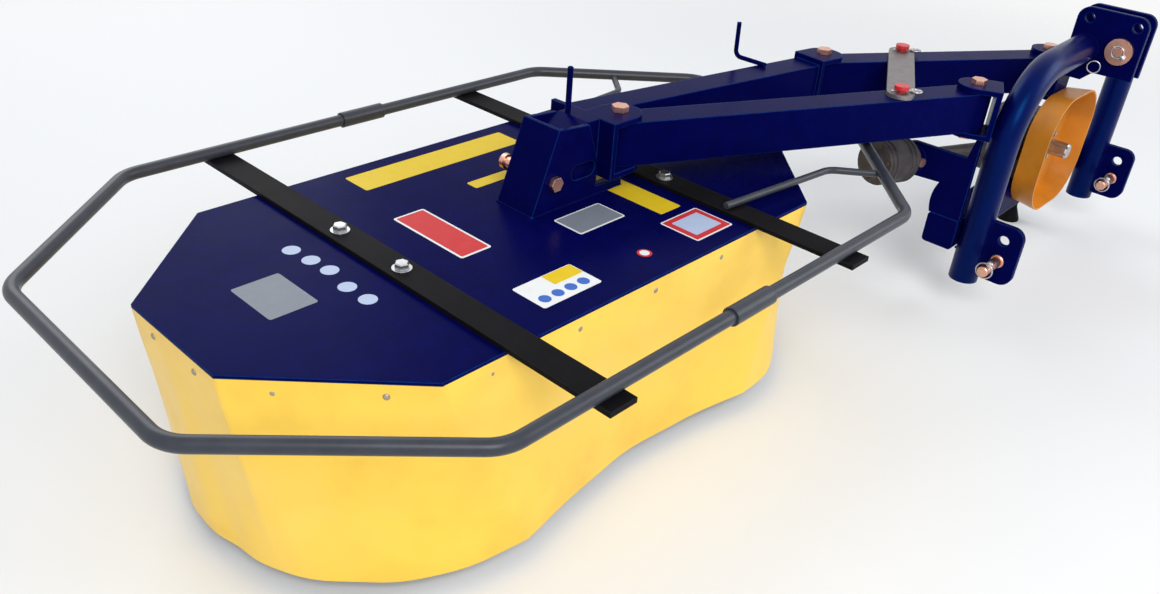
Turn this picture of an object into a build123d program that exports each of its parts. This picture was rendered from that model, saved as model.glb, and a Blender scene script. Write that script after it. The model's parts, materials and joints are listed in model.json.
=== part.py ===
"""Two-drum rotary mower for a small tractor, with its three-point headstock.

Millimetres. The origin is on the input shaft's centre line, between the lower hitch points.
X runs along the mower, away from the mowing deck. The tractor stands on the -Y side. +Z is up.
"""
import os
from math import atan2, cos, degrees, hypot, radians, sin, sqrt

from build123d import *

os.makedirs("parts", exist_ok=True)

# Floor, and the clearances that are used all over
FLOOR_Z = -292.0
SEAT = 0.3
PIN_FIT = 0.05
MOVE_GAP = 6.0
PIN_CHAMFER = 2.0

# Headstock: an arch of round tube over a square crossbeam
HITCH_SPACING = 683.0
TUBE_R = 30.0
TUBE_WALL = 4.0
POST_Y = 10.0
POST_FOOT_Z = -213.0
ARCH_Z = 235.0
ARCH_RISE = 12.0
ARCH_BEND_R = 150.0
BEAM_SIZE = 67.0
BEAM_WALL = 5.0
BEAM_CORNER_R = 8.0
BEAM_BORE_CORNER_R = 4.0
BEAM_TOP_Z = -82.0
BEAM_NEAR_X = -377.0
BEAM_FAR_X = 400.0
BEAM_CAP_T = 6.0

# Top-link plates
TOP_PLATE_T = 10.0
TOP_PLATE_GAP = 46.0
TOP_PLATE_FRONT_Y = -101.0
TOP_PLATE_BACK_Y = 42.0
TOP_PLATE_LOW_Z = 168.0
TOP_PLATE_HIGH_Z = 318.0
TOP_PLATE_FRONT_LOW_Z = 188.0
TOP_PLATE_CORNER_R = 24.0
# The plates' lower edge steps down behind the pin, on a slope
TOP_PLATE_STEP_BACK = 38.0
TOP_PLATE_STEP_L = 20.0
TOP_PIN_R = 9.5
TOP_PIN_Y = -61.0
TOP_PIN_Z = 244.0
TOP_PIN_NEAR_PROUD = 16.0
TOP_PIN_FAR_PROUD = 22.0
TOP_COLLAR_R = 27.0
TOP_COLLAR_T = 9.7
SPARE_HOLE_R = 10.0
SPARE_HOLE_IN_BACK = 25.0
SPARE_HOLE_IN_FRONT = 22.0
SPARE_HOLE_IN_TOP = 22.0

# Lower hitch ears and their pins
EAR_T = 12.0
EAR_FRONT_Y = -88.0
EAR_LOW_Z = -196.0
EAR_HIGH_Z = -66.0
EAR_CORNER_R = 26.0
HITCH_PIN_R = 11.0
HITCH_SHANK_R = 9.5
HITCH_PIN_Y = -50.0
HITCH_PIN_FAR_Y = -52.0
HITCH_PIN_HEAD_R = 17.0
HITCH_PIN_HEAD_H = 10.0
HITCH_PIN_Z = -146.0
HITCH_PIN_FREE = 75.0
EAR_HOLE_R = 11.25
EAR_HOLE_Z = -100.0

# Gearbox on the headstock, its input stub and the shield round it
GEARBOX_FRONT_Y = 38.0
GEARBOX_DEPTH = 112.0
GEARBOX_HALF_WIDTH = 65.0
GEARBOX_TOP_Z = 66.0
GEARBOX_CORNER_R = 16.0
PTO_R = 17.45
PTO_TIP_Y = -22.0
SHAFT_R = 20.0
SHAFT_SEAT_DEPTH = 40.0
SHAFT_SEAT_GAP = 1.0
SHAFT_COLLAR_L = 4.0
SHIELD_HALF = 132.0
SHIELD_CORNER_R = 92.0
SHIELD_DRAFT = 8.0
SHIELD_WALL = 4.0
SHIELD_FRONT_Y = -14.0
SHIELD_HOLE_ROOM = 12.0

# Side shaft with its clutch, from the gearbox towards the deck
SIDE_SHAFT_START = (-100.0, 92.0, 0.0)
SIDE_SHAFT_AIM = (-447.0, 190.0, 23.0)
SIDE_SHAFT_R = 16.0
SIDE_SHAFT_SEAT = 20.0
SIDE_SHAFT_SEAT_GAP = 0.5
SIDE_BOSS_R = 34.0
SIDE_BOSS_L = 60.0
CLUTCH_R = 45.0
CLUTCH_HALF_L = 42.0
CLUTCH_NECK_R = 30.0
CLUTCH_NECK_L = 16.0
GUARD_STUB_R = 23.0
GUARD_STUB_L = 22.0
BEARING_R = 36.0
BEARING_L = 24.0
BEARING_RIM = 8.0
GUSSET_T = 10.0
GUSSET_HEAD_W = 10.0
GUSSET_NECK_W = 20.0
GUSSET_TOE_IN = 5.0
GUSSET_TOE_RISE = 4.0
GUSSET_BACK_R = 90.0

# Arms: square tube, one level for all of them
ARM_LOW_Z = 114.0
ARM_H = 78.0
ARM_W = 60.0
ARM_WALL = 5.0
ARM_END_SOLID = 10.0
PIVOT_PIN_R = 12.0
PIN_HEAD_R = 15.0
PIN_HEAD_H = 10.0
EAR_GAP = 1.0
PIVOT_EAR_T = 10.0
PIVOT_EAR_R = 38.0
NEAR_PIVOT = (-373.0, 80.0)
FAR_PIVOT = (19.0, 90.0)
INNER_PIVOT = (-1071.0, 400.0)
KNEE = (-465.0, 374.0)
KNEE_SLACK = 10.0
FORK_WEB_T = 8.0
ARM_TOP_Z = ARM_LOW_Z + ARM_H
CARRIER_RIGHT_X = -1116.0
CARRIER_HEAD_T = 10.0
CARRIER_HEAD_FAR_Y = 509.0
# The back edge of the carrier's block, measured along X and up from the tilt pin
CARRIER_TOP_BACK = 80.0
CARRIER_SHOULDER_BACK = 34.0
CARRIER_SHOULDER_DROP = 4.0
CARRIER_NECK = (6.0, 28.0)
CARRIER_HEEL = (-11.0, 12.0)
INNER_ARM_START_Y = 474.0

# Strap that locks the two arms in the working position
STRAP_NEAR = (-547.0, 155.0)
STRAP_FAR = (-290.0, 289.0)
STRAP_T = 8.0
STRAP_W = 52.0
STRAP_PIN_R = 9.0
STRAP_PIN_HEAD_R = 14.0
STRAP_PIN_HEAD_H = 8.0
STRAP_PIN_RISE = 5.0

# Round rods: a hook on the inner arm and a short upright on the carrier
HOOK_R = 4.5
HOOK_FOOT = (-622.0, 412.0)
HOOK_BEND_Y = 485.0
HOOK_H = 72.0
HOOK_LEAN = 2.0
UPRIGHT_R = 5.0
UPRIGHT_AT = (-1148.0, 448.0)
UPRIGHT_H = 78.0
UPRIGHT_CHAMFER = 1.5

# Deck: a folded octagonal cover over the two drums
DECK_X = -1267.0
DECK_Y = 430.0
DECK_TOP_Z = 71.0
DECK_HALF_L = 600.0
DECK_HALF_W = 295.0
DECK_CUT_X = 194.0
DECK_CUT_Y = 190.0
COVER_T = 5.0
COVER_LIP = 38.0
COVER_LIP_INSET = 11.0
COVER_LIP_T = 4.0
SKIRT_T = 4.0
SKIRT_LOW_Z = -259.0
SKIRT_LOBE_X = 270.0
SKIRT_LOBE_R = 322.0
SKIRT_WAIST = 292.0
# Directions of the points between a lobe's arcs, in degrees from the deck's long axis
SKIRT_LOBE_TURNS = (90, 24, -24, -90)

# Drums, knives and skids
DRUM_X = 270.0
DRUM_TOP_Z = -34.0
DRUM_R = 138.0
DRUM_EDGE = 10.0
DRUM_FLARE_TOP = 56.0
DRUM_FLARE_OUT = 26.0
DRUM_FLARE_LOW = 14.0
DISC_R = 215.0
DISC_Z = -244.0
DISC_T = 6.0
HUB_R = 42.0
SKID_R = 205.0
SKID_T = 6.0
SKID_RIM_SECTION = (
    # in from the rim, up from the floor
    (70.0, 0.0), (8.0, 14.0), (0.0, 26.0), (6.0, 28.0), (14.0, 19.0),
)
SKID_FLAT_IN = 74.0
SKID_CUP_H = 30.0
SKID_CUP_FLOOR = 15.0
AXLE_FOOT_GAP = 1.0
KNIFE_TIP_R = 262.0
KNIFE_ROOT = 34.0
KNIFE_W = 40.0
KNIFE_T = 4.0
KNIFE_PHASE = 30
KNIVES = 3
GEAR_CASE_H = 82.0
GEAR_CASE_W = 150.0
GEAR_CASE_L = 760.0
AXLE_COLLAR = 14.0
INPUT_TUBE_R = 34.0
INPUT_TUBE_BACK = 30.0
INPUT_STUB = 84.0
INPUT_HOLE_R = 46.0

# Guard rail of round tube, on two flat bars
BAR_XS = (-280.0, 272.0)
BAR_W = 48.0
BAR_T = 8.0
BAR_HALF_L = 476.0
RAIL_R = 10.65
RAIL_HALF_L = 721.0
RAIL_HALF_W = 450.0
RAIL_CUT_X = 266.0
RAIL_CUT_Y = 244.0
RAIL_BEND_R = 60.0
RAIL_SHIFT = 10.0
RAIL_X = DECK_X + RAIL_SHIFT
RAIL_SPLIT_GAP = 2.0
RAIL_SLEEVE_L = 90.0
RAIL_SLEEVE_WALL = 3.5
RAIL_SLEEVE_FIT = 0.1
BRACE_R = 6.5
BRACE_FOOT_Y = 231.0
BRACE_FOOT_IN = 4.0
BRACE_BEND = (-735.0, 258.0)
BRACE_END_X = -672.0
BRACE_BEND_R = 40.0
BRACE_TRIM_HALF = 60.0

# Tilt bracket on the deck
TILT_X = -1234.0
TILT_Z = 120.0
TILT_PIN_R = 10.0
TILT_PIN_HEAD_R = 13.0
TILT_PIN_HEAD_H = 9.0
TILT_PIN_REACH = 36.0
TILT_BOSS_R = 17.0
BRACKET_Y = 429.0
BRACKET_HALF_W = 41.0
BRACKET_T = 7.0
BRACKET_TOP_Z = 208.0
BACK_PLATE_FOOT_X = -1281.0
BACK_PLATE_HEAD_X = -1228.0
BACK_PLATE_T = 6.0
BRACKET_TOE_X = -1066.0
BRACKET_TOE_H = 12.0
BRACKET_TOE_SLOPE = 4.0
BRACKET_RIGHT_SLACK = 26.0
BRACKET_RIGHT_RISE = 10.0
BRACKET_TOP_FALL = 6.0
BRACKET_SLOT_X = 68.0
BRACKET_SLOT_Z = 4.0
BRACKET_SLOT_L = 56.0
BRACKET_SLOT_W = 26.0

# Parking leg
LEG_X = 223.0
LEG_R = 14.0
LEG_SLEEVE_T = 5.0
LEG_FOOT_R = 27.0
LEG_FOOT_T = 5.0
LEG_CONE_TOP = 38.0
LEG_SLEEVE_LOW_Z = -130.0
LEG_SLEEVE_L = 110.0
LEG_TOP_Z = -4.0


def save(name, part):
    """Label one finished piece and write it."""
    part.label = name
    export_step(part, f"parts/{name}.step")


def octagon(half_l, half_w, cut_x, cut_y, inset=0.0):
    """Corner points of a long octagon about the deck's centre, moved in by an even inset."""
    cut_inset = inset * (2 - sqrt(2))
    half_l = half_l - inset
    half_w = half_w - inset
    inner_l = half_l - cut_x + cut_inset
    inner_w = half_w - cut_y + cut_inset
    return [
        (inner_l, half_w), (half_l, inner_w), (half_l, -inner_w), (inner_l, -half_w),
        (-inner_l, -half_w), (-half_l, -inner_w), (-half_l, inner_w), (-inner_l, half_w),
    ]


# Arch of the headstock: two posts and two bends that meet the top-link plates
half_spacing = HITCH_SPACING / 2
plate_face_x = TOP_PLATE_GAP / 2 + TOP_PLATE_T / 2
with BuildPart() as arch:
    for side in (-1, 1):
        with BuildLine(Plane.XZ.offset(-POST_Y)) as run:
            FilletPolyline(
                (side * half_spacing, POST_FOOT_Z),
                (side * half_spacing, ARCH_Z - ARCH_RISE),
                (side * plate_face_x, ARCH_Z),
                radius=ARCH_BEND_R,
            )
        with BuildSketch(Plane(origin=run.line @ 0, z_dir=run.line % 0)):
            Circle(TUBE_R)
            Circle(TUBE_R - TUBE_WALL, mode=Mode.SUBTRACT)
        sweep(path=run.line)
    # The tube ends are trimmed square against the plates.
    with BuildSketch(Plane.YZ.offset(-plate_face_x)):
        with Locations((POST_Y, ARCH_Z)):
            Rectangle(4 * TUBE_R, 4 * TUBE_R)
    extrude(amount=2 * plate_face_x, mode=Mode.SUBTRACT)
save("arch", arch.part)

for name, side in (("top_plate_near", -1), ("top_plate_far", 1)):
    with BuildPart() as top_plate:
        with BuildSketch(Plane.YZ.offset(side * TOP_PLATE_GAP / 2 - TOP_PLATE_T / 2)) as outline:
            with BuildLine():
                Polyline(
                    (TOP_PLATE_BACK_Y, TOP_PLATE_LOW_Z),
                    (TOP_PLATE_BACK_Y, TOP_PLATE_HIGH_Z),
                    (TOP_PLATE_FRONT_Y, TOP_PLATE_HIGH_Z),
                    (TOP_PLATE_FRONT_Y, TOP_PLATE_FRONT_LOW_Z),
                    (TOP_PIN_Y + TOP_PLATE_STEP_BACK, TOP_PLATE_FRONT_LOW_Z),
                    (TOP_PIN_Y + TOP_PLATE_STEP_BACK + TOP_PLATE_STEP_L, TOP_PLATE_LOW_Z),
                    close=True,
                )
            make_face()
            fillet(outline.vertices().group_by(Axis.Y)[-1], TOP_PLATE_CORNER_R)
            with Locations((TOP_PIN_Y, TOP_PIN_Z)):
                Circle(TOP_PIN_R + PIN_FIT, mode=Mode.SUBTRACT)
            spare_z = TOP_PLATE_HIGH_Z - SPARE_HOLE_IN_TOP
            with Locations((TOP_PLATE_BACK_Y - SPARE_HOLE_IN_BACK, spare_z),
                           (TOP_PLATE_FRONT_Y + SPARE_HOLE_IN_FRONT, spare_z)):
                Circle(SPARE_HOLE_R, mode=Mode.SUBTRACT)
        extrude(amount=TOP_PLATE_T)
    save(name, top_plate.part)

with BuildPart() as top_pin:
    near_end = plate_face_x + TOP_PIN_NEAR_PROUD
    with BuildSketch(Plane.YZ.offset(-near_end)):
        with Locations((TOP_PIN_Y, TOP_PIN_Z)):
            Circle(TOP_PIN_R)
    extrude(amount=near_end + plate_face_x + TOP_PIN_FAR_PROUD)
    with BuildSketch(Plane.YZ.offset(-plate_face_x - SEAT - TOP_COLLAR_T)):
        with Locations((TOP_PIN_Y, TOP_PIN_Z)):
            Circle(TOP_COLLAR_R)
            Circle(TOP_PIN_R, mode=Mode.SUBTRACT)
    extrude(amount=TOP_COLLAR_T)
save("top_link_pin", top_pin.part)

# Crossbeam behind the posts
beam_mid_z = BEAM_TOP_Z - BEAM_SIZE / 2
beam_mid_y = POST_Y + TUBE_R + BEAM_SIZE / 2
with BuildPart() as crossbeam:
    with BuildSketch(Plane.YZ.offset(BEAM_NEAR_X)):
        with Locations((beam_mid_y, beam_mid_z)):
            RectangleRounded(BEAM_SIZE, BEAM_SIZE, BEAM_CORNER_R)
    extrude(amount=BEAM_FAR_X - BEAM_NEAR_X)
    # The tube is open at its far end and capped at the near one.
    with BuildSketch(Plane.YZ.offset(BEAM_NEAR_X + BEAM_CAP_T)):
        with Locations((beam_mid_y, beam_mid_z)):
            bore = BEAM_SIZE - 2 * BEAM_WALL
            RectangleRounded(bore, bore, BEAM_BORE_CORNER_R)
    extrude(amount=BEAM_FAR_X - BEAM_NEAR_X, mode=Mode.SUBTRACT)
save("crossbeam", crossbeam.part)

# Lower hitch ears on the posts, each with its pin pointing away from the far side
HITCH_SIDES = (
    # name, side, pin's Y
    ("near", -1, HITCH_PIN_Y),
    ("far", 1, HITCH_PIN_FAR_Y),
)
for name, side, pin_y in HITCH_SIDES:
    ear_x = side * half_spacing
    with BuildPart() as ear:
        with BuildSketch(Plane.YZ.offset(ear_x - EAR_T / 2)) as outline:
            with Locations(((EAR_FRONT_Y + POST_Y) / 2, (EAR_LOW_Z + EAR_HIGH_Z) / 2)):
                Rectangle(POST_Y - EAR_FRONT_Y, EAR_HIGH_Z - EAR_LOW_Z)
            fillet(outline.vertices().group_by(Axis.X)[0], EAR_CORNER_R)
            with Locations((pin_y, EAR_HOLE_Z)):
                Circle(EAR_HOLE_R, mode=Mode.SUBTRACT)
            with Locations((pin_y, HITCH_PIN_Z)):
                Circle(HITCH_SHANK_R + PIN_FIT, mode=Mode.SUBTRACT)
        extrude(amount=EAR_T)
        with BuildSketch(Plane.XY.offset(POST_FOOT_Z)):
            with Locations((ear_x, POST_Y)):
                Circle(TUBE_R)
        extrude(amount=EAR_HIGH_Z - POST_FOOT_Z, mode=Mode.SUBTRACT)
    save(f"hitch_ear_{name}", ear.part)
    with BuildPart() as hitch_pin:
        with BuildSketch(Plane.YZ.offset(ear_x - EAR_T / 2 - HITCH_PIN_FREE)):
            with Locations((pin_y, HITCH_PIN_Z)):
                Circle(HITCH_PIN_R)
        extrude(amount=HITCH_PIN_FREE - SEAT)
        with BuildSketch(Plane.YZ.offset(ear_x - EAR_T / 2 - SEAT)):
            with Locations((pin_y, HITCH_PIN_Z)):
                Circle(HITCH_SHANK_R)
        extrude(amount=EAR_T + 2 * SEAT)
        with BuildSketch(Plane.YZ.offset(ear_x + EAR_T / 2 + SEAT)):
            with Locations((pin_y, HITCH_PIN_Z)):
                Circle(HITCH_PIN_HEAD_R)
        extrude(amount=HITCH_PIN_HEAD_H)
        chamfer(hitch_pin.edges().group_by(Axis.X)[0], PIN_CHAMFER)
    save(f"hitch_pin_{name}", hitch_pin.part)

# Gearbox on the crossbeam, with a bearing boss to the front and one to the side shaft
aim = Vector(*SIDE_SHAFT_AIM) - Vector(*SIDE_SHAFT_START)
side_dir = aim.normalized()
side_plane = Plane(origin=SIDE_SHAFT_START, z_dir=side_dir)
with BuildPart() as gearbox:
    with BuildSketch(Plane.XZ.offset(-GEARBOX_FRONT_Y)):
        with Locations((0, (GEARBOX_TOP_Z + BEAM_TOP_Z) / 2)):
            Rectangle(2 * GEARBOX_HALF_WIDTH, GEARBOX_TOP_Z - BEAM_TOP_Z)
    extrude(amount=-GEARBOX_DEPTH)
    fillet(gearbox.edges().filter_by(Axis.Y), GEARBOX_CORNER_R)
    with BuildSketch(side_plane):
        Circle(SIDE_BOSS_R)
    extrude(amount=-SIDE_BOSS_L)
    with BuildSketch(Plane.XZ.offset(-GEARBOX_FRONT_Y)):
        Circle(SHAFT_R)
    extrude(amount=-SHAFT_SEAT_DEPTH, mode=Mode.SUBTRACT)
    with BuildSketch(side_plane):
        Circle(SIDE_SHAFT_R)
    extrude(amount=-SIDE_SHAFT_SEAT, mode=Mode.SUBTRACT)
save("headstock_gearbox", gearbox.part)

with BuildPart() as input_shaft:
    with BuildSketch(Plane.XZ.offset(-PTO_TIP_Y)):
        Circle(PTO_R)
    extrude(amount=-(GEARBOX_FRONT_Y - PTO_TIP_Y - SHAFT_COLLAR_L))
    with BuildSketch(Plane.XZ.offset(-(GEARBOX_FRONT_Y - SHAFT_COLLAR_L))):
        Circle(SHAFT_R - PIN_FIT)
    extrude(amount=-(SHAFT_SEAT_DEPTH - SHAFT_SEAT_GAP + SHAFT_COLLAR_L))
    chamfer(input_shaft.edges().group_by(Axis.Y)[0], PIN_CHAMFER)
save("input_shaft", input_shaft.part)

# Shield: an open cup with rounded corners round the input stub
with BuildPart() as shield:
    for inset, depth, mode in ((0, 0, Mode.ADD), (SHIELD_WALL, SHIELD_WALL, Mode.SUBTRACT)):
        mouth = 2 * (SHIELD_HALF - inset)
        bottom = mouth - 2 * SHIELD_DRAFT
        with BuildSketch(Plane.XZ.offset(-(GEARBOX_FRONT_Y - depth))):
            RectangleRounded(bottom, bottom, SHIELD_CORNER_R - inset - SHIELD_DRAFT)
        with BuildSketch(Plane.XZ.offset(-SHIELD_FRONT_Y)):
            RectangleRounded(mouth, mouth, SHIELD_CORNER_R - inset)
        loft(mode=mode)
    with BuildSketch(Plane.XZ.offset(-GEARBOX_FRONT_Y)):
        Circle(SHAFT_R + SHIELD_HOLE_ROOM)
    extrude(amount=SHIELD_WALL + 1, mode=Mode.SUBTRACT)
save("input_shield", shield.part)

# Side shaft: plain shaft, clutch drum and a guard stub, all on one axis
clutch_at = aim.length
with BuildPart() as side_shaft:
    seated = SIDE_SHAFT_SEAT - SIDE_SHAFT_SEAT_GAP
    with BuildSketch(side_plane.offset(-seated)):
        Circle(SIDE_SHAFT_R - PIN_FIT)
    extrude(amount=clutch_at + seated)
    with BuildSketch(side_plane.offset(clutch_at - CLUTCH_HALF_L)):
        Circle(CLUTCH_R)
    extrude(amount=2 * CLUTCH_HALF_L)
    with BuildSketch(side_plane.offset(clutch_at - CLUTCH_HALF_L - CLUTCH_NECK_L)):
        Circle(CLUTCH_NECK_R)
    extrude(amount=CLUTCH_NECK_L + CLUTCH_HALF_L)
    with BuildSketch(side_plane.offset(clutch_at + CLUTCH_HALF_L)):
        Circle(GUARD_STUB_R)
    extrude(amount=GUARD_STUB_L)
save("side_shaft", side_shaft.part)

# Near pivot bracket: web on the near post, two ears and a gusset down to the beam
pivot_high_z = ARM_TOP_Z + EAR_GAP
pivot_low_z = ARM_LOW_Z - EAR_GAP - PIVOT_EAR_T
near_to_post = hypot(-half_spacing - NEAR_PIVOT[0], POST_Y - NEAR_PIVOT[1])
near_angle = degrees(atan2(POST_Y - NEAR_PIVOT[1], -half_spacing - NEAR_PIVOT[0]))
web_out = near_to_post - TUBE_R
with BuildPart() as near_bracket:
    base = Plane(origin=(*NEAR_PIVOT, 0)).rotated((0, 0, near_angle))
    for z in (pivot_low_z, pivot_high_z):
        with BuildSketch(base.offset(z)):
            Circle(PIVOT_EAR_R)
            with Locations((web_out / 2, 0)):
                Rectangle(web_out, 2 * PIVOT_EAR_R)
            Circle(PIVOT_PIN_R + PIN_FIT, mode=Mode.SUBTRACT)
        extrude(amount=PIVOT_EAR_T)
    web_t = web_out - ARM_W / 2 - MOVE_GAP
    with BuildSketch(base.offset(pivot_low_z)):
        with Locations((web_out - web_t / 2, 0)):
            Rectangle(web_t, 2 * PIVOT_EAR_R)
    extrude(amount=pivot_high_z - pivot_low_z)
    # The tube's bend leans over the web, which is cut to it.
    with BuildSketch(Plane.XY.offset(pivot_low_z)):
        with Locations((-half_spacing, POST_Y)):
            Circle(TUBE_R)
    extrude(amount=pivot_high_z + PIVOT_EAR_T - pivot_low_z, mode=Mode.SUBTRACT)
save("near_pivot_bracket", near_bracket.part)

bearing_reach = (BEAM_NEAR_X + GUSSET_T / 2 - SIDE_SHAFT_START[0]) / side_dir.X
bearing_at = Vector(*SIDE_SHAFT_START) + side_dir * bearing_reach
post_back_y = POST_Y + TUBE_R
beam_back_y = post_back_y + BEAM_SIZE
gusset_toe = (beam_back_y - GUSSET_TOE_IN, bearing_at.Z - BEARING_R + GUSSET_TOE_RISE)
with BuildPart() as near_gusset:
    with BuildSketch(Plane.YZ.offset(BEAM_NEAR_X)):
        with BuildLine():
            Polyline(
                (beam_back_y, BEAM_TOP_Z),
                (post_back_y, BEAM_TOP_Z),
                (post_back_y, pivot_low_z),
                (post_back_y + GUSSET_HEAD_W, pivot_low_z),
                (post_back_y + GUSSET_NECK_W, bearing_at.Z + BEARING_R),
                (bearing_at.Y, bearing_at.Z + BEARING_R),
                (bearing_at.Y, bearing_at.Z - BEARING_R),
                gusset_toe,
            )
            RadiusArc(gusset_toe, (beam_back_y, BEAM_TOP_Z), GUSSET_BACK_R)
        make_face()
        with Locations((bearing_at.Y, bearing_at.Z)):
            Circle(BEARING_R)
    extrude(amount=GUSSET_T)
    with BuildSketch(side_plane.offset(bearing_reach - BEARING_L / 2)):
        Circle(BEARING_R - BEARING_RIM)
    extrude(amount=BEARING_L)
    with BuildSketch(side_plane.offset(bearing_reach - BEARING_L)):
        Circle(SIDE_SHAFT_R)
    extrude(amount=2 * BEARING_L, mode=Mode.SUBTRACT)
save("near_gusset", near_gusset.part)

# Far pivot bracket: web behind the top-link plates, with two ears
far_x = FAR_PIVOT[0]
far_y = FAR_PIVOT[1]
with BuildPart() as far_bracket:
    for z in (pivot_low_z, pivot_high_z):
        with BuildSketch(Plane.XY.offset(z)):
            with Locations(FAR_PIVOT):
                Circle(PIVOT_EAR_R)
            with Locations((far_x, (far_y + TOP_PLATE_BACK_Y) / 2)):
                Rectangle(2 * PIVOT_EAR_R, far_y - TOP_PLATE_BACK_Y)
            with Locations(FAR_PIVOT):
                Circle(PIVOT_PIN_R + PIN_FIT, mode=Mode.SUBTRACT)
        extrude(amount=PIVOT_EAR_T)
    with BuildSketch(Plane.XY.offset(pivot_low_z)):
        with Locations((far_x, TOP_PLATE_BACK_Y + PIVOT_EAR_T / 2)):
            Rectangle(2 * PIVOT_EAR_R, PIVOT_EAR_T)
    extrude(amount=pivot_high_z - pivot_low_z)
save("far_pivot_bracket", far_bracket.part)


def pivot_pin(name, at):
    """Vertical pin through two ears, with a head above and a nut below."""
    with BuildPart() as pin:
        with BuildSketch(Plane.XY.offset(pivot_low_z - SEAT - PIN_HEAD_H)):
            with Locations(at):
                Circle(PIVOT_PIN_R)
        extrude(amount=pivot_high_z + PIVOT_EAR_T - pivot_low_z + 2 * SEAT + PIN_HEAD_H)
        with BuildSketch(Plane.XY.offset(pivot_high_z + PIVOT_EAR_T + SEAT)):
            with Locations(at):
                RegularPolygon(PIN_HEAD_R, 6)
        extrude(amount=PIN_HEAD_H)
        with BuildSketch(Plane.XY.offset(pivot_low_z - SEAT)):
            with Locations(at):
                RegularPolygon(PIN_HEAD_R, 6)
        extrude(amount=-PIN_HEAD_H)
    save(name, pin.part)


pivot_pin("near_pivot_pin", NEAR_PIVOT)
pivot_pin("far_pivot_pin", FAR_PIVOT)
pivot_pin("inner_pivot_pin", INNER_PIVOT)
pivot_pin("knee_pin", KNEE)

# Parking leg in its sleeve on the beam
sleeve_r = LEG_R + PIN_FIT + LEG_SLEEVE_T
leg_y = beam_mid_y + BEAM_SIZE / 2 + sleeve_r
with BuildPart() as sleeve:
    with BuildSketch(Plane.XY.offset(LEG_SLEEVE_LOW_Z)):
        with Locations((LEG_X, leg_y)):
            Circle(sleeve_r)
            Circle(LEG_R + PIN_FIT, mode=Mode.SUBTRACT)
    extrude(amount=LEG_SLEEVE_L)
save("leg_sleeve", sleeve.part)

with BuildPart() as leg:
    with BuildSketch(Plane.XY.offset(FLOOR_Z + LEG_FOOT_T)):
        with Locations((LEG_X, leg_y)):
            Circle(LEG_R)
    extrude(amount=LEG_TOP_Z - FLOOR_Z - LEG_FOOT_T)
    with BuildSketch(Plane.XY.offset(FLOOR_Z + LEG_CONE_TOP)):
        with Locations((LEG_X, leg_y)):
            Circle(LEG_R)
    with BuildSketch(Plane.XY.offset(FLOOR_Z + LEG_FOOT_T)):
        with Locations((LEG_X, leg_y)):
            Circle(LEG_FOOT_R)
    loft()
    with BuildSketch(Plane.XY.offset(FLOOR_Z)):
        with Locations((LEG_X, leg_y)):
            Circle(LEG_FOOT_R)
    extrude(amount=LEG_FOOT_T)
save("parking_leg", leg.part)

# Near and far arms, each from its pivot on the headstock to the pivot at its other end
ARM_ENDS = (
    # name, start, end, clearance round the start pin, clearance round the end pin
    ("near_arm", NEAR_PIVOT, INNER_PIVOT, PIN_FIT, PIN_FIT),
    ("far_arm", FAR_PIVOT, KNEE, PIN_FIT, KNEE_SLACK),
)
for name, start, end, start_fit, end_fit in ARM_ENDS:
    length = hypot(end[0] - start[0], end[1] - start[1])
    angle = degrees(atan2(end[1] - start[1], end[0] - start[0]))
    base = Plane(origin=(*start, 0)).rotated((0, 0, angle))
    eye_r = ARM_W / 2
    with BuildPart() as arm:
        with BuildSketch(base.offset(ARM_LOW_Z)):
            with Locations((0, 0), (length, 0)):
                Circle(eye_r)
            with Locations((length / 2, 0)):
                Rectangle(length, ARM_W)
        extrude(amount=ARM_H)
        # The tube between the two eyes is hollow.
        with BuildSketch(base.offset(ARM_LOW_Z + ARM_WALL)):
            with Locations((length / 2, 0)):
                Rectangle(length - 2 * (eye_r + ARM_END_SOLID), ARM_W - 2 * ARM_WALL)
        extrude(amount=ARM_H - 2 * ARM_WALL, mode=Mode.SUBTRACT)
        with BuildSketch(base.offset(ARM_LOW_Z)):
            Circle(PIVOT_PIN_R + start_fit)
        extrude(amount=ARM_H, mode=Mode.SUBTRACT)
        with BuildSketch(base.offset(ARM_LOW_Z)):
            with Locations((length, 0)):
                Circle(PIVOT_PIN_R + end_fit)
        extrude(amount=ARM_H, mode=Mode.SUBTRACT)
    save(name, arm.part)

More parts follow.
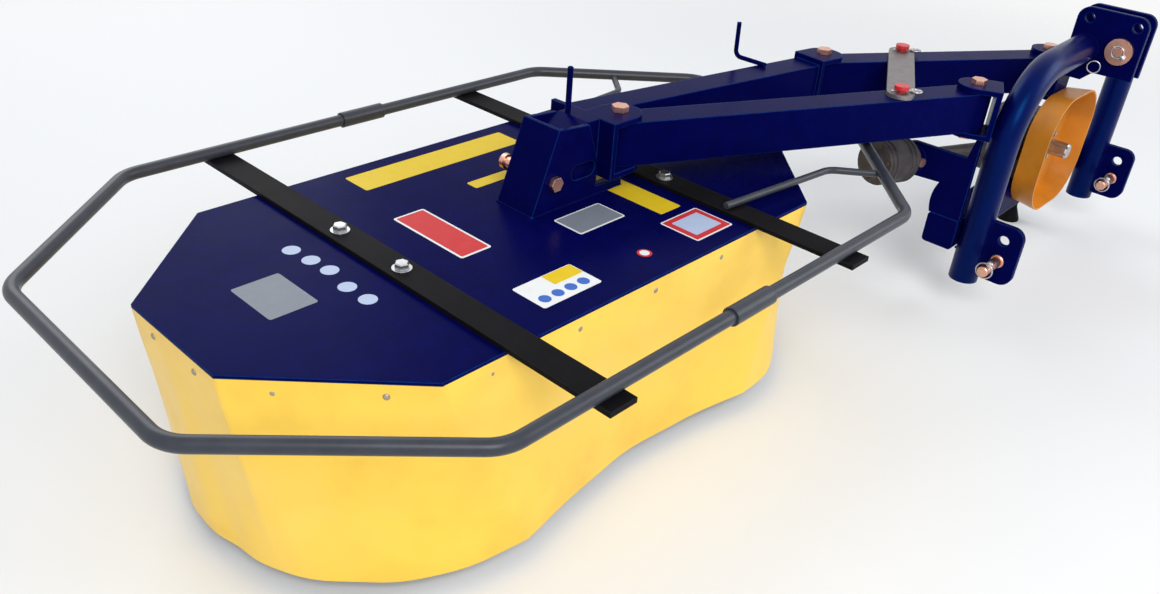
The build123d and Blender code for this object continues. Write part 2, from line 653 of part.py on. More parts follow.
# Inner arm, fixed to the carrier at the tilt bracket and forked at the knee
carrier_half_w = BRACKET_HALF_W - BRACKET_T - EAR_GAP
inner_start = (CARRIER_RIGHT_X, INNER_ARM_START_Y)
inner_length = hypot(KNEE[0] - inner_start[0], KNEE[1] - inner_start[1])
inner_angle = degrees(atan2(KNEE[1] - inner_start[1], KNEE[0] - inner_start[0]))
inner_base = Plane(origin=(*inner_start, 0)).rotated((0, 0, inner_angle))
fork_back = ARM_W / 2 + KNEE_SLACK + MOVE_GAP
with BuildPart() as inner_arm:
    with BuildSketch(inner_base.offset(ARM_LOW_Z)):
        with Locations(((inner_length - fork_back) / 2, 0)):
            Rectangle(inner_length - fork_back, ARM_W)
    extrude(amount=ARM_H)
    with BuildSketch(inner_base.offset(ARM_LOW_Z + ARM_WALL)):
        with Locations((inner_length / 2, 0)):
            Rectangle(inner_length - 2 * fork_back, ARM_W - 2 * ARM_WALL)
    extrude(amount=ARM_H - 2 * ARM_WALL, mode=Mode.SUBTRACT)
    for z in (pivot_low_z, pivot_high_z):
        with BuildSketch(inner_base.offset(z)):
            with Locations((inner_length, 0)):
                Circle(PIVOT_EAR_R)
            with Locations((inner_length - fork_back / 2, 0)):
                Rectangle(fork_back, 2 * PIVOT_EAR_R)
            with Locations((inner_length, 0)):
                Circle(PIVOT_PIN_R + PIN_FIT, mode=Mode.SUBTRACT)
        extrude(amount=PIVOT_EAR_T)
    with BuildSketch(inner_base.offset(pivot_low_z)):
        with Locations((inner_length - fork_back + FORK_WEB_T / 2, 0)):
            Rectangle(FORK_WEB_T, 2 * PIVOT_EAR_R)
    extrude(amount=pivot_high_z + PIVOT_EAR_T - pivot_low_z)
    # The arm starts square at the carrier's face.
    with BuildSketch(Plane.XY.offset(ARM_LOW_Z)):
        with Locations((CARRIER_RIGHT_X - ARM_W, inner_start[1])):
            Rectangle(2 * ARM_W, 4 * ARM_W)
    extrude(amount=ARM_H, mode=Mode.SUBTRACT)
save("inner_arm", inner_arm.part)

# Carrier inside the tilt bracket: a block on the tilt pin, a head plate, and the inner pivot's ears
ear_top_z = pivot_high_z + PIVOT_EAR_T
head_left_x = CARRIER_RIGHT_X - CARRIER_HEAD_T
with BuildPart() as carrier:
    with BuildSketch(Plane.XZ.offset(-BRACKET_Y - carrier_half_w)):
        with BuildLine():
            Polyline(
                (TILT_X, TILT_Z - TILT_BOSS_R),
                (CARRIER_RIGHT_X, pivot_low_z),
                (CARRIER_RIGHT_X, ear_top_z),
                (TILT_X + CARRIER_TOP_BACK, ear_top_z),
                (TILT_X + CARRIER_SHOULDER_BACK, ARM_TOP_Z - CARRIER_SHOULDER_DROP),
                (TILT_X + CARRIER_NECK[0], TILT_Z + CARRIER_NECK[1]),
                (TILT_X + CARRIER_HEEL[0], TILT_Z + CARRIER_HEEL[1]),
                close=True,
            )
        make_face()
        with Locations((TILT_X, TILT_Z)):
            Circle(TILT_BOSS_R)
            Circle(TILT_PIN_R + PIN_FIT, mode=Mode.SUBTRACT)
    extrude(amount=2 * carrier_half_w)
    ear_low_y = INNER_PIVOT[1] - PIVOT_EAR_R
    with BuildSketch(Plane.XY.offset(pivot_low_z)):
        with Locations((head_left_x + CARRIER_HEAD_T / 2, (ear_low_y + CARRIER_HEAD_FAR_Y) / 2)):
            Rectangle(CARRIER_HEAD_T, CARRIER_HEAD_FAR_Y - ear_low_y)
    extrude(amount=ear_top_z - pivot_low_z)
    for z in (pivot_low_z, pivot_high_z):
        with BuildSketch(Plane.XY.offset(z)):
            with Locations(INNER_PIVOT):
                Circle(PIVOT_EAR_R)
            with Locations(((INNER_PIVOT[0] + CARRIER_RIGHT_X) / 2, INNER_PIVOT[1])):
                Rectangle(INNER_PIVOT[0] - CARRIER_RIGHT_X, 2 * PIVOT_EAR_R)
            with Locations(INNER_PIVOT):
                Circle(PIVOT_PIN_R + PIN_FIT, mode=Mode.SUBTRACT)
        extrude(amount=PIVOT_EAR_T)
save("carrier", carrier.part)

# Strap that locks the two arms, and its pins
strap_length = hypot(STRAP_FAR[0] - STRAP_NEAR[0], STRAP_FAR[1] - STRAP_NEAR[1])
strap_angle = degrees(atan2(STRAP_FAR[1] - STRAP_NEAR[1], STRAP_FAR[0] - STRAP_NEAR[0]))
strap_base = Plane(origin=(*STRAP_NEAR, 0)).rotated((0, 0, strap_angle))
with BuildPart() as strap:
    with BuildSketch(strap_base.offset(ARM_TOP_Z + SEAT)):
        with Locations((strap_length / 2, 0)):
            SlotCenterToCenter(strap_length, STRAP_W)
        with Locations((0, 0), (strap_length, 0)):
            Circle(STRAP_PIN_R + PIN_FIT, mode=Mode.SUBTRACT)
    extrude(amount=STRAP_T)
save("lock_strap", strap.part)
for name, at in (("near", 0.0), ("far", strap_length)):
    with BuildPart() as strap_pin:
        with BuildSketch(strap_base.offset(ARM_TOP_Z + SEAT)):
            with Locations((at, 0)):
                Circle(STRAP_PIN_R)
        extrude(amount=STRAP_T + STRAP_PIN_RISE)
        with BuildSketch(strap_base.offset(ARM_TOP_Z + SEAT + STRAP_T + STRAP_PIN_RISE)):
            with Locations((at, 0)):
                Circle(STRAP_PIN_HEAD_R)
        extrude(amount=STRAP_PIN_HEAD_H)
    save(f"strap_pin_{name}", strap_pin.part)

# Hook of round rod lying on the inner arm, and the upright on the carrier
with BuildPart() as hook:
    with BuildLine(Plane.YZ.offset(HOOK_FOOT[0])) as run:
        FilletPolyline(
            (HOOK_FOOT[1], ARM_TOP_Z + HOOK_R),
            (HOOK_BEND_Y, ARM_TOP_Z + HOOK_R),
            (HOOK_BEND_Y + HOOK_LEAN, ARM_TOP_Z + HOOK_H),
            radius=3 * HOOK_R,
        )
    with BuildSketch(Plane(origin=run.line @ 0, z_dir=run.line % 0)):
        Circle(HOOK_R)
    sweep(path=run.line)
save("arm_hook", hook.part)

with BuildPart() as upright:
    with BuildSketch(Plane.XY.offset(ear_top_z)):
        with Locations(UPRIGHT_AT):
            Circle(UPRIGHT_R)
    extrude(amount=UPRIGHT_H)
    chamfer(upright.edges().group_by(Axis.Z)[-1], UPRIGHT_CHAMFER)
save("carrier_upright", upright.part)

# Tilt bracket welded on the deck: a sloped back plate and two side plates with long toes
with BuildPart() as tilt_bracket:
    side_right_x = head_left_x - MOVE_GAP
    toe_z = DECK_TOP_Z + BRACKET_TOE_H
    for y in (BRACKET_Y - BRACKET_HALF_W, BRACKET_Y + BRACKET_HALF_W - BRACKET_T):
        with BuildSketch(Plane.XZ.offset(-y - BRACKET_T)):
            with BuildLine():
                Polyline(
                    (BACK_PLATE_FOOT_X, DECK_TOP_Z),
                    (BRACKET_TOE_X, DECK_TOP_Z),
                    (BRACKET_TOE_X, toe_z),
                    (side_right_x, toe_z + BRACKET_TOE_SLOPE),
                    (side_right_x, TILT_Z + BRACKET_RIGHT_RISE),
                    (side_right_x - BRACKET_RIGHT_SLACK, BRACKET_TOP_Z - BRACKET_TOP_FALL),
                    (BACK_PLATE_HEAD_X, BRACKET_TOP_Z),
                    close=True,
                )
            make_face()
            with Locations((TILT_X, TILT_Z)):
                Circle(TILT_PIN_R + PIN_FIT, mode=Mode.SUBTRACT)
            with Locations((TILT_X + BRACKET_SLOT_X, TILT_Z + BRACKET_SLOT_Z)):
                SlotOverall(BRACKET_SLOT_L, BRACKET_SLOT_W, mode=Mode.SUBTRACT)
        extrude(amount=BRACKET_T)
    with BuildSketch(Plane.XZ.offset(-BRACKET_Y - BRACKET_HALF_W)):
        with BuildLine():
            Polyline(
                (BACK_PLATE_FOOT_X, DECK_TOP_Z),
                (BACK_PLATE_FOOT_X + BACK_PLATE_T, DECK_TOP_Z),
                (BACK_PLATE_HEAD_X + BACK_PLATE_T, BRACKET_TOP_Z),
                (BACK_PLATE_HEAD_X, BRACKET_TOP_Z),
                close=True,
            )
        make_face()
    extrude(amount=2 * BRACKET_HALF_W)
save("tilt_bracket", tilt_bracket.part)

bracket_near_y = BRACKET_Y - BRACKET_HALF_W
bracket_far_y = BRACKET_Y + BRACKET_HALF_W
with BuildPart() as tilt_pin:
    with BuildSketch(Plane.XZ.offset(-(bracket_near_y - TILT_PIN_HEAD_H))):
        with Locations((TILT_X, TILT_Z)):
            Circle(TILT_PIN_R)
    extrude(amount=-(2 * BRACKET_HALF_W + TILT_PIN_HEAD_H + TILT_PIN_REACH))
    with BuildSketch(Plane.XZ.offset(-(bracket_near_y - SEAT))):
        with Locations((TILT_X, TILT_Z)):
            RegularPolygon(TILT_PIN_HEAD_R, 6)
    extrude(amount=TILT_PIN_HEAD_H)
    with BuildSketch(Plane.XZ.offset(-(bracket_far_y + TILT_PIN_REACH))):
        with Locations((TILT_X, TILT_Z)):
            Circle(TILT_PIN_HEAD_R)
    extrude(amount=TILT_PIN_HEAD_H)
save("tilt_pin", tilt_pin.part)

# Deck cover: flat octagon with a folded lip
deck_top = Plane(origin=(DECK_X, DECK_Y, DECK_TOP_Z))
case_top_z = DECK_TOP_Z - COVER_T
case_low_z = case_top_z - GEAR_CASE_H
input_z = (case_top_z + case_low_z) / 2
input_plane = Plane(origin=(DECK_X, DECK_Y, input_z), x_dir=(0, 1, 0), z_dir=(1, 0, 0))
deck_shape = (DECK_HALF_L, DECK_HALF_W, DECK_CUT_X, DECK_CUT_Y)
with BuildPart() as cover:
    with BuildSketch(deck_top):
        Polygon(*octagon(*deck_shape), align=None)
    extrude(amount=-COVER_T)
    with BuildSketch(deck_top.offset(-COVER_T)):
        Polygon(*octagon(*deck_shape, COVER_LIP_INSET), align=None)
        Polygon(*octagon(*deck_shape, COVER_LIP_INSET + COVER_LIP_T), align=None, mode=Mode.SUBTRACT)
    extrude(amount=-COVER_LIP)
    with BuildSketch(input_plane):
        Circle(INPUT_HOLE_R)
    extrude(amount=2 * DECK_HALF_L, mode=Mode.SUBTRACT)
save("deck_cover", cover.part)


def lobed_edge(inset):
    """Lower edge of the skirt: two lobes round the drums with a waist between them."""
    radius = SKIRT_LOBE_R - inset
    waist = SKIRT_WAIST - inset
    mid_turns = [(start + end) / 2 for start, end in zip(SKIRT_LOBE_TURNS, SKIRT_LOBE_TURNS[1:])]
    points = []
    mids = []
    for sign in (1, -1):
        for turns, found in ((SKIRT_LOBE_TURNS, points), (mid_turns, mids)):
            for angle in turns:
                turn = radians(angle if sign > 0 else angle + 180)
                found.append((sign * SKIRT_LOBE_X + radius * cos(turn), radius * sin(turn)))
        mids.append((0, -sign * waist))
    return points, mids


def skirt_body(inset):
    """Loft from the octagon under the cover down to the lobed lower edge."""
    with BuildPart() as body:
        with BuildSketch(Plane(origin=(DECK_X, DECK_Y, DECK_TOP_Z - COVER_T - SEAT))):
            Polygon(*octagon(*deck_shape, inset), align=None)
        with BuildSketch(Plane(origin=(DECK_X, DECK_Y, SKIRT_LOW_Z))):
            points, mids = lobed_edge(inset)
            with BuildLine():
                for i, mid in enumerate(mids):
                    ThreePointArc(points[i], mid, points[(i + 1) % len(points)])
            make_face()
        loft(ruled=True)
    return body.part


outward = (Align.CENTER, Align.CENTER, Align.MIN)
input_hole = input_plane * Cylinder(INPUT_HOLE_R, 2 * DECK_HALF_L, align=outward)
skirt = skirt_body(0) - skirt_body(SKIRT_T) - input_hole
save("skirt", skirt)

# Gear case under the cover, carrying both drums
with BuildPart() as gear_case:
    with BuildSketch(Plane(origin=(DECK_X, DECK_Y, case_low_z))):
        SlotOverall(GEAR_CASE_L, GEAR_CASE_W)
    extrude(amount=GEAR_CASE_H)
    with BuildSketch(input_plane):
        Circle(INPUT_TUBE_R)
    extrude(amount=DECK_HALF_L - INPUT_TUBE_BACK)
    with BuildSketch(input_plane.offset(DECK_HALF_L - INPUT_TUBE_BACK)):
        Circle(SHAFT_R)
    extrude(amount=-SHAFT_SEAT_DEPTH, mode=Mode.SUBTRACT)
save("gear_case", gear_case.part)

with BuildPart() as deck_input:
    seat_start = DECK_HALF_L - INPUT_TUBE_BACK
    with BuildSketch(input_plane.offset(seat_start - SHAFT_SEAT_DEPTH + SHAFT_SEAT_GAP)):
        Circle(SHAFT_R - PIN_FIT)
    extrude(amount=SHAFT_SEAT_DEPTH - SHAFT_SEAT_GAP + SHAFT_COLLAR_L)
    with BuildSketch(input_plane.offset(seat_start + SHAFT_COLLAR_L)):
        Circle(PTO_R)
    extrude(amount=INPUT_STUB)
    chamfer(deck_input.edges().group_by(Axis.X)[-1], PIN_CHAMFER)
save("deck_input_shaft", deck_input.part)

for name, side in (("left", -1), ("right", 1)):
    drum_x = DECK_X + side * DRUM_X
    axle_r = HUB_R / 2
    bore_r = axle_r + PIN_FIT
    cup_floor_z = FLOOR_Z + SKID_CUP_FLOOR
    axle_foot_z = cup_floor_z + AXLE_FOOT_GAP
    with BuildPart() as axle:
        with BuildSketch(Plane(origin=(drum_x, DECK_Y, axle_foot_z))):
            Circle(axle_r)
        extrude(amount=case_low_z - axle_foot_z)
        with BuildSketch(Plane(origin=(drum_x, DECK_Y, case_low_z))):
            Circle(HUB_R + AXLE_COLLAR)
        extrude(amount=-(case_low_z - DRUM_TOP_Z - MOVE_GAP))
    save(f"drum_axle_{name}", axle.part)
    with BuildPart() as drum:
        with BuildSketch(Plane(origin=(drum_x, DECK_Y, 0), x_dir=(1, 0, 0), z_dir=(0, -1, 0))):
            with BuildLine():
                Polyline(
                    (bore_r, DRUM_TOP_Z),
                    (DRUM_R - DRUM_EDGE, DRUM_TOP_Z),
                    (DRUM_R, DRUM_TOP_Z - DRUM_EDGE),
                    (DRUM_R, DISC_Z + DRUM_FLARE_TOP),
                    (DRUM_R + DRUM_FLARE_OUT, DISC_Z + DRUM_FLARE_LOW),
                    (DISC_R, DISC_Z),
                    (DISC_R, DISC_Z - DISC_T),
                    (bore_r, DISC_Z - DISC_T),
                    close=True,
                )
            make_face()
        revolve(axis=Axis((drum_x, DECK_Y, 0), (0, 0, 1)))
    save(f"drum_{name}", drum.part)
    with BuildPart() as knives:
        root_r = DISC_R - KNIFE_ROOT
        for index in range(KNIVES):
            turn = side * KNIFE_PHASE + index * 360 / KNIVES
            knife_plane = Plane(origin=(drum_x, DECK_Y, DISC_Z - DISC_T - SEAT)).rotated((0, 0, turn))
            with BuildSketch(knife_plane):
                with Locations(((root_r + KNIFE_TIP_R) / 2, 0)):
                    Rectangle(KNIFE_TIP_R - root_r, KNIFE_W)
            extrude(amount=-KNIFE_T)
    save(f"knives_{name}", knives.part)
    with BuildPart() as skid:
        with BuildSketch(Plane(origin=(drum_x, DECK_Y, 0), x_dir=(1, 0, 0), z_dir=(0, -1, 0))):
            with BuildLine():
                Polyline(
                    (0, FLOOR_Z),
                    *[(SKID_R - inward, FLOOR_Z + up) for inward, up in SKID_RIM_SECTION],
                    (SKID_R - SKID_FLAT_IN, FLOOR_Z + SKID_T),
                    (HUB_R, FLOOR_Z + SKID_T),
                    (HUB_R, FLOOR_Z + SKID_CUP_H),
                    (bore_r, FLOOR_Z + SKID_CUP_H),
                    (bore_r, cup_floor_z),
                    (0, cup_floor_z),
                    close=True,
                )
            make_face()
        revolve(axis=Axis((drum_x, DECK_Y, 0), (0, 0, 1)))
    save(f"skid_{name}", skid.part)

# Two flat bars across the deck carry the guard rail
for name, bar_x in zip(("left", "right"), BAR_XS):
    with BuildPart() as bar:
        with BuildSketch(deck_top):
            with Locations((bar_x, 0)):
                Rectangle(BAR_W, 2 * BAR_HALF_L)
        extrude(amount=BAR_T)
    save(f"cross_bar_{name}", bar.part)

rail_z = DECK_TOP_Z + BAR_T + RAIL_R
rail = octagon(RAIL_HALF_L, RAIL_HALF_W, RAIL_CUT_X, RAIL_CUT_Y)
for name, side in (("left", -1), ("right", 1)):
    split_x = side * RAIL_SPLIT_GAP / 2
    corners = rail[0:4] if side > 0 else rail[4:8]
    route = [(split_x, side * RAIL_HALF_W), *corners, (split_x, -side * RAIL_HALF_W)]
    with BuildPart() as rail_half:
        with BuildLine(Plane(origin=(RAIL_X, DECK_Y, rail_z))) as run:
            FilletPolyline(*route, radius=RAIL_BEND_R)
        with BuildSketch(Plane(origin=run.line @ 0, z_dir=run.line % 0)):
            Circle(RAIL_R)
        sweep(path=run.line)
    save(f"guard_rail_{name}", rail_half.part)

with BuildPart() as sleeves:
    for y in (-RAIL_HALF_W, RAIL_HALF_W):
        with BuildSketch(Plane.YZ.offset(RAIL_X - RAIL_SLEEVE_L / 2)):
            with Locations((DECK_Y + y, rail_z)):
                Circle(RAIL_R + RAIL_SLEEVE_WALL)
                Circle(RAIL_R + RAIL_SLEEVE_FIT, mode=Mode.SUBTRACT)
        extrude(amount=RAIL_SLEEVE_L)
save("rail_sleeves", sleeves.part)

# Two thin braces from the right bar to the rail's right corners, trimmed to the rail
brace_z = DECK_TOP_Z + BAR_T + BRACE_R
brace_foot_x = DECK_X + BAR_XS[1] - BAR_W / 2 + BRACE_FOOT_IN
corner_near = (RAIL_X + RAIL_HALF_L, RAIL_HALF_W - RAIL_CUT_Y)
corner_slope = RAIL_CUT_Y / RAIL_CUT_X
brace_end_y = corner_near[1] + (corner_near[0] - BRACE_END_X) * corner_slope
for name, side in (("near", -1), ("far", 1)):
    with BuildPart() as brace:
        with BuildLine(Plane.XY.offset(brace_z)) as run:
            FilletPolyline(
                (brace_foot_x, DECK_Y + side * BRACE_FOOT_Y),
                (BRACE_BEND[0], DECK_Y + side * BRACE_BEND[1]),
                (BRACE_END_X, DECK_Y + side * brace_end_y),
                radius=BRACE_BEND_R,
            )
        with BuildSketch(Plane(origin=run.line @ 0, z_dir=run.line % 0)):
            Circle(BRACE_R)
        sweep(path=run.line)
        along = Vector(RAIL_CUT_X, -side * RAIL_CUT_Y, 0).normalized()
        rail_corner = Vector(BRACE_END_X, DECK_Y + side * brace_end_y, rail_z)
        with BuildSketch(Plane(origin=rail_corner - along * BRACE_TRIM_HALF, z_dir=along)):
            Circle(RAIL_R + SEAT)
        extrude(amount=2 * BRACE_TRIM_HALF, mode=Mode.SUBTRACT)
    save(f"rail_brace_{name}", brace.part)
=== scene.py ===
"""Looks of a two-drum rotary mower, built around its CAD frame.

Metres. The tractor stands on the -Y side, the deck reaches out along -X, and +Z is up.
"""
import json
from math import atan2, cos, hypot, pi, radians, sin, sqrt

import bmesh
import bpy
from mathutils import Matrix, Vector


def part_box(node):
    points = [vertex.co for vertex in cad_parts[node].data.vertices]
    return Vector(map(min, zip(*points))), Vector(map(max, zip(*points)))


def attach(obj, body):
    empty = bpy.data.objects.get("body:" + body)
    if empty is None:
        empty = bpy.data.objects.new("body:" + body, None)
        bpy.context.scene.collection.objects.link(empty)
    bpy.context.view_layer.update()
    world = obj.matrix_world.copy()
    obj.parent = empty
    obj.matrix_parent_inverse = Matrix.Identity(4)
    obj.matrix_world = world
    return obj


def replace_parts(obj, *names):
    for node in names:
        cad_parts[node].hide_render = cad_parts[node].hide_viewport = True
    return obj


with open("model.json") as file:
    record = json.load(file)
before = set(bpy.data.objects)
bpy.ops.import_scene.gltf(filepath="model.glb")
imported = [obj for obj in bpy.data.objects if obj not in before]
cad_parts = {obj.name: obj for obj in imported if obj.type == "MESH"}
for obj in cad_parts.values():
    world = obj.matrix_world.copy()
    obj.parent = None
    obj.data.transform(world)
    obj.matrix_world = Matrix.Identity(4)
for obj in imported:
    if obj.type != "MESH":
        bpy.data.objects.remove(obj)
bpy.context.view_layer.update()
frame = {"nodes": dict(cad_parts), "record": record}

# Deck, drums and skirt
DECK_X = -1.267
DECK_Y = 0.430
DECK_TOP_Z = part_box("deck_cover")[1].z
DECK_HALF_L = 0.600
DECK_HALF_W = 0.295
DECK_CUT_X = 0.194
DECK_CUT_Y = 0.190
DRUM_X = 0.270
SKIRT_LOBE_X = 0.270
SKIRT_LOBE_R = 0.322
SKIRT_WAIST = 0.292
# Directions of the points between a lobe's arcs, and of their middles, in degrees from the deck's long axis
SKIRT_LOBE_TURNS = (90, 24, -24, -90)
SKIRT_MID_TURNS = (57, 0, -57)
SKIRT_LOW_Z, SKIRT_TOP_Z = (corner.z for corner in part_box("skirt"))
SKIRT_THICK = 0.0022
# Squares of the cloth's mesh along each of the eight sides, and down
SKIRT_COLUMNS = 46
SKIRT_ROWS = 22
FOLD_DEPTH = 0.0075
RIPPLE_DEPTH = 0.0018
# The hole for the deck's input stub: its radius, and the reach from the deck's middle that it is cut over
INPUT_HOLE_R = 0.046
INPUT_HOLE_REACH = (0.45, 0.75)
INPUT_Z = 0.025
FLOOR_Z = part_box("skid_left")[0].z

# Largest angle between faces that is shaded smooth, in degrees
SMOOTH_ANGLE = 32.0
CLUTCH_SMOOTH_ANGLE = 40.0
CLOTH_SMOOTH_ANGLE = 50.0
RIVET_SMOOTH_ANGLE = 60.0
BEAD_SMOOTH_ANGLE = 70.0

# Paint, and the colour its edges turn to: for most, the colour under the paint where it wears through; for
# the blue, a light azure that is a painted highlight
BLUE = (0.0011, 0.0016, 0.052)
# Painted highlight: light azure along the blue paint's edges, where the gloss would catch the light
BLUE_EDGE_HIGHLIGHT = (0.010, 0.075, 0.34)
DRUM_WORN = (0.06, 0.07, 0.10)
BLACK = (0.0062, 0.0060, 0.0072)
BLACK_WORN = (0.04, 0.04, 0.045)
SLATE = (0.031, 0.035, 0.046)
SLATE_WORN = (0.09, 0.10, 0.12)
RED = (0.52, 0.018, 0.022)
RED_WORN = (0.60, 0.12, 0.10)
# Tint of the blue paint's gloss
AZURE = (0.03, 0.30, 1.0)
WHITE = (1, 1, 1)

# Cloth, plastic and metal
YELLOW = (0.960, 0.610, 0.055)
AMBER = (0.60, 0.210, 0.010)
COPPER = (0.80, 0.44, 0.34)
BRONZE = (0.42, 0.36, 0.28)
ZINC = (0.52, 0.53, 0.55)
DULL_ZINC = (0.27, 0.25, 0.26)
WORN_STEEL = (0.34, 0.33, 0.33)
DARK_CAST = (0.035, 0.030, 0.034)
RUST_CAST = (0.11, 0.055, 0.05)

# Label films
FILMS = {
    "yellow": (0.74, 0.52, 0.014),
    "red": (0.56, 0.030, 0.034),
    "white": (0.78, 0.79, 0.78),
    "grey": (0.19, 0.21, 0.25),
    "blue": (0.05, 0.14, 0.50),
    "pale_blue": (0.42, 0.50, 0.68),
}

# Cosines between the flat normal and the rounded one, where the edge colour starts and where it is full:
# paint wear, and on the blue a painted highlight
WEAR_AND_HIGHLIGHT_STARTS = 0.985
WEAR_AND_HIGHLIGHT_FULL = 0.80
BEVEL_SAMPLES = 6


# Materials
def new_material(name, color, roughness, metallic=0.0, specular=0.5):
    """A Principled material with its constants set on the shader's own sockets."""
    material = bpy.data.materials.new(name)
    material.use_nodes = True
    shader = material.node_tree.nodes["Principled BSDF"]
    shader.inputs["Base Color"].default_value = (*color, 1)
    shader.inputs["Roughness"].default_value = roughness
    shader.inputs["Metallic"].default_value = metallic
    shader.inputs["Specular IOR Level"].default_value = specular
    return material, material.node_tree, shader


def shade(color, factor, lift=0.0):
    """A colour made lighter or darker, kept within white."""
    return tuple(min(1.0, factor * channel + lift) for channel in color)


def object_space(tree):
    """Coordinates in the object's own space."""
    return tree.nodes.new("ShaderNodeTexCoord").outputs["Object"]


def noise(tree, scale, detail=4.0, roughness=0.55, where=None):
    """Noise over the object's own space, or over given coordinates."""
    node = tree.nodes.new("ShaderNodeTexNoise")
    node.inputs["Scale"].default_value = scale
    node.inputs["Detail"].default_value = detail
    node.inputs["Roughness"].default_value = roughness
    tree.links.new(object_space(tree) if where is None else where, node.inputs["Vector"])
    return node.outputs["Fac"]


def math_node(tree, operation, first, second, clamp=False):
    """One number worked out from two."""
    node = tree.nodes.new("ShaderNodeMath")
    node.operation = operation
    node.use_clamp = clamp
    tree.links.new(first, node.inputs[0])
    tree.links.new(second, node.inputs[1])
    return node.outputs["Value"]


def distance_to(tree, where, point):
    """Distance from a point."""
    node = tree.nodes.new("ShaderNodeVectorMath")
    node.operation = "DISTANCE"
    node.inputs[1].default_value = point
    tree.links.new(where, node.inputs[0])
    return node.outputs["Value"]


def map_range(tree, source, start=0.0, end=1.0, low=0.0, high=1.0, interpolation="LINEAR"):
    """A factor that runs from start to end, mapped onto low to high."""
    node = tree.nodes.new("ShaderNodeMapRange")
    node.interpolation_type = interpolation
    for socket, value in (("From Min", start), ("From Max", end), ("To Min", low), ("To Max", high)):
        node.inputs[socket].default_value = value
    tree.links.new(source, node.inputs["Value"])
    return node.outputs["Result"]


def ramp(tree, source, stops):
    """Colour ramp over a factor: stops are (position, colour)."""
    node = tree.nodes.new("ShaderNodeValToRGB")
    elements = node.color_ramp.elements
    while len(elements) < len(stops):
        elements.new(0.5)
    for element, (place, color) in zip(elements, stops):
        element.position = place
        element.color = (*color, 1)
    tree.links.new(source, node.inputs["Fac"])
    return node.outputs["Color"]


def color_from(tree, shader, source, stops):
    """Base colour from a ramp over a factor."""
    tree.links.new(ramp(tree, source, stops), shader.inputs["Base Color"])


def roughness_from(tree, shader, source, low, high):
    """Roughness that varies with a factor between two values."""
    tree.links.new(map_range(tree, source, low=low, high=high), shader.inputs["Roughness"])


def soft_normal(tree, radius):
    """Normal that is rounded over sharp edges, as a bevel of that radius would be."""
    node = tree.nodes.new("ShaderNodeBevel")
    node.samples = BEVEL_SAMPLES
    node.inputs["Radius"].default_value = radius
    return node.outputs["Normal"]


def bump_from(tree, shader, source, strength, distance, normal=None):
    """Fine relief from a factor, over a given normal."""
    node = tree.nodes.new("ShaderNodeBump")
    if normal is not None:
        tree.links.new(normal, node.inputs["Normal"])
    node.inputs["Strength"].default_value = strength
    node.inputs["Distance"].default_value = distance
    tree.links.new(source, node.inputs["Height"])
    tree.links.new(node.outputs["Normal"], shader.inputs["Normal"])


def edge_wear_and_highlight(tree, base, wear_and_highlight_tone, normal):
    """Base colour that turns to the edge colour in patches, where the rounded normal leaves the flat one:
    paint wear, and on the blue a painted highlight.
    """
    flat = tree.nodes.new("ShaderNodeNewGeometry").outputs["Normal"]
    near = tree.nodes.new("ShaderNodeVectorMath")
    near.operation = "DOT_PRODUCT"
    tree.links.new(normal, near.inputs[0])
    tree.links.new(flat, near.inputs[1])
    steep = map_range(tree, near.outputs["Value"], WEAR_AND_HIGHLIGHT_STARTS, WEAR_AND_HIGHLIGHT_FULL)
    patchy = math_node(tree, "MULTIPLY", steep, noise(tree, 70.0, 5.0), clamp=True)
    mix = tree.nodes.new("ShaderNodeMix")
    mix.data_type = "RGBA"
    tree.links.new(patchy, mix.inputs["Factor"])
    tree.links.new(base, mix.inputs["A"])
    mix.inputs["B"].default_value = (*wear_and_highlight_tone, 1)
    return mix.outputs["Result"]


def enamel(name, color, wear_and_highlight_tone, roughness, specular=0.016, gloss_tint=WHITE):
    """Sprayed enamel with faint orange peel, dust and edge wear; on the blue the edges turn to a painted
    azure highlight.
    """
    material, tree, shader = new_material(name, color, roughness, specular=specular)
    shader.inputs["Specular Tint"].default_value = (*gloss_tint, 1)
    mottled = ramp(tree, noise(tree, 34.0, 5.0), [(0.35, color), (0.75, shade(color, 1.35))])
    normal = soft_normal(tree, 0.0032)
    tree.links.new(edge_wear_and_highlight(tree, mottled, wear_and_highlight_tone, normal), shader.inputs["Base Color"])
    roughness_from(tree, shader, noise(tree, 9.0, 6.0), roughness - 0.06, roughness + 0.12)
    bump_from(tree, shader, noise(tree, 420.0, 2.0), 0.10, 0.0006, normal)
    return material


def bare_metal(name, color, roughness):
    """Plated or bright steel with fine marks."""
    material, tree, shader = new_material(name, color, roughness, metallic=1.0)
    color_from(tree, shader, noise(tree, 46.0, 6.0, 0.65), [(0.30, shade(color, 0.80)), (0.65, color)])
    roughness_from(tree, shader, noise(tree, 60.0, 5.0), roughness - 0.06, roughness + 0.12)
    bump_from(tree, shader, noise(tree, 700.0, 3.0), 0.12, 0.0004, soft_normal(tree, 0.0008))
    return material


def scuffed_dish(name, color, centers):
    """Steel worn in rings round the nearer of two upright axes."""
    material, tree, shader = new_material(name, color, 0.4, metallic=1.0)
    flat = tree.nodes.new("ShaderNodeVectorMath")
    flat.operation = "MULTIPLY"
    flat.inputs[1].default_value = (1, 1, 0)
    tree.links.new(object_space(tree), flat.inputs[0])
    reach = [distance_to(tree, flat.outputs["Vector"], (*center, 0)) for center in centers]
    along = tree.nodes.new("ShaderNodeCombineXYZ")
    tree.links.new(math_node(tree, "MINIMUM", *reach), along.inputs["X"])
    rings = noise(tree, 130.0, 6.0, 0.5, where=along.outputs["Vector"])
    color_from(tree, shader, rings, [(0.30, shade(color, 0.45)), (0.62, color)])
    roughness_from(tree, shader, rings, 0.28, 0.60)
    bump_from(tree, shader, rings, 0.25, 0.0008, soft_normal(tree, 0.003))
    return material


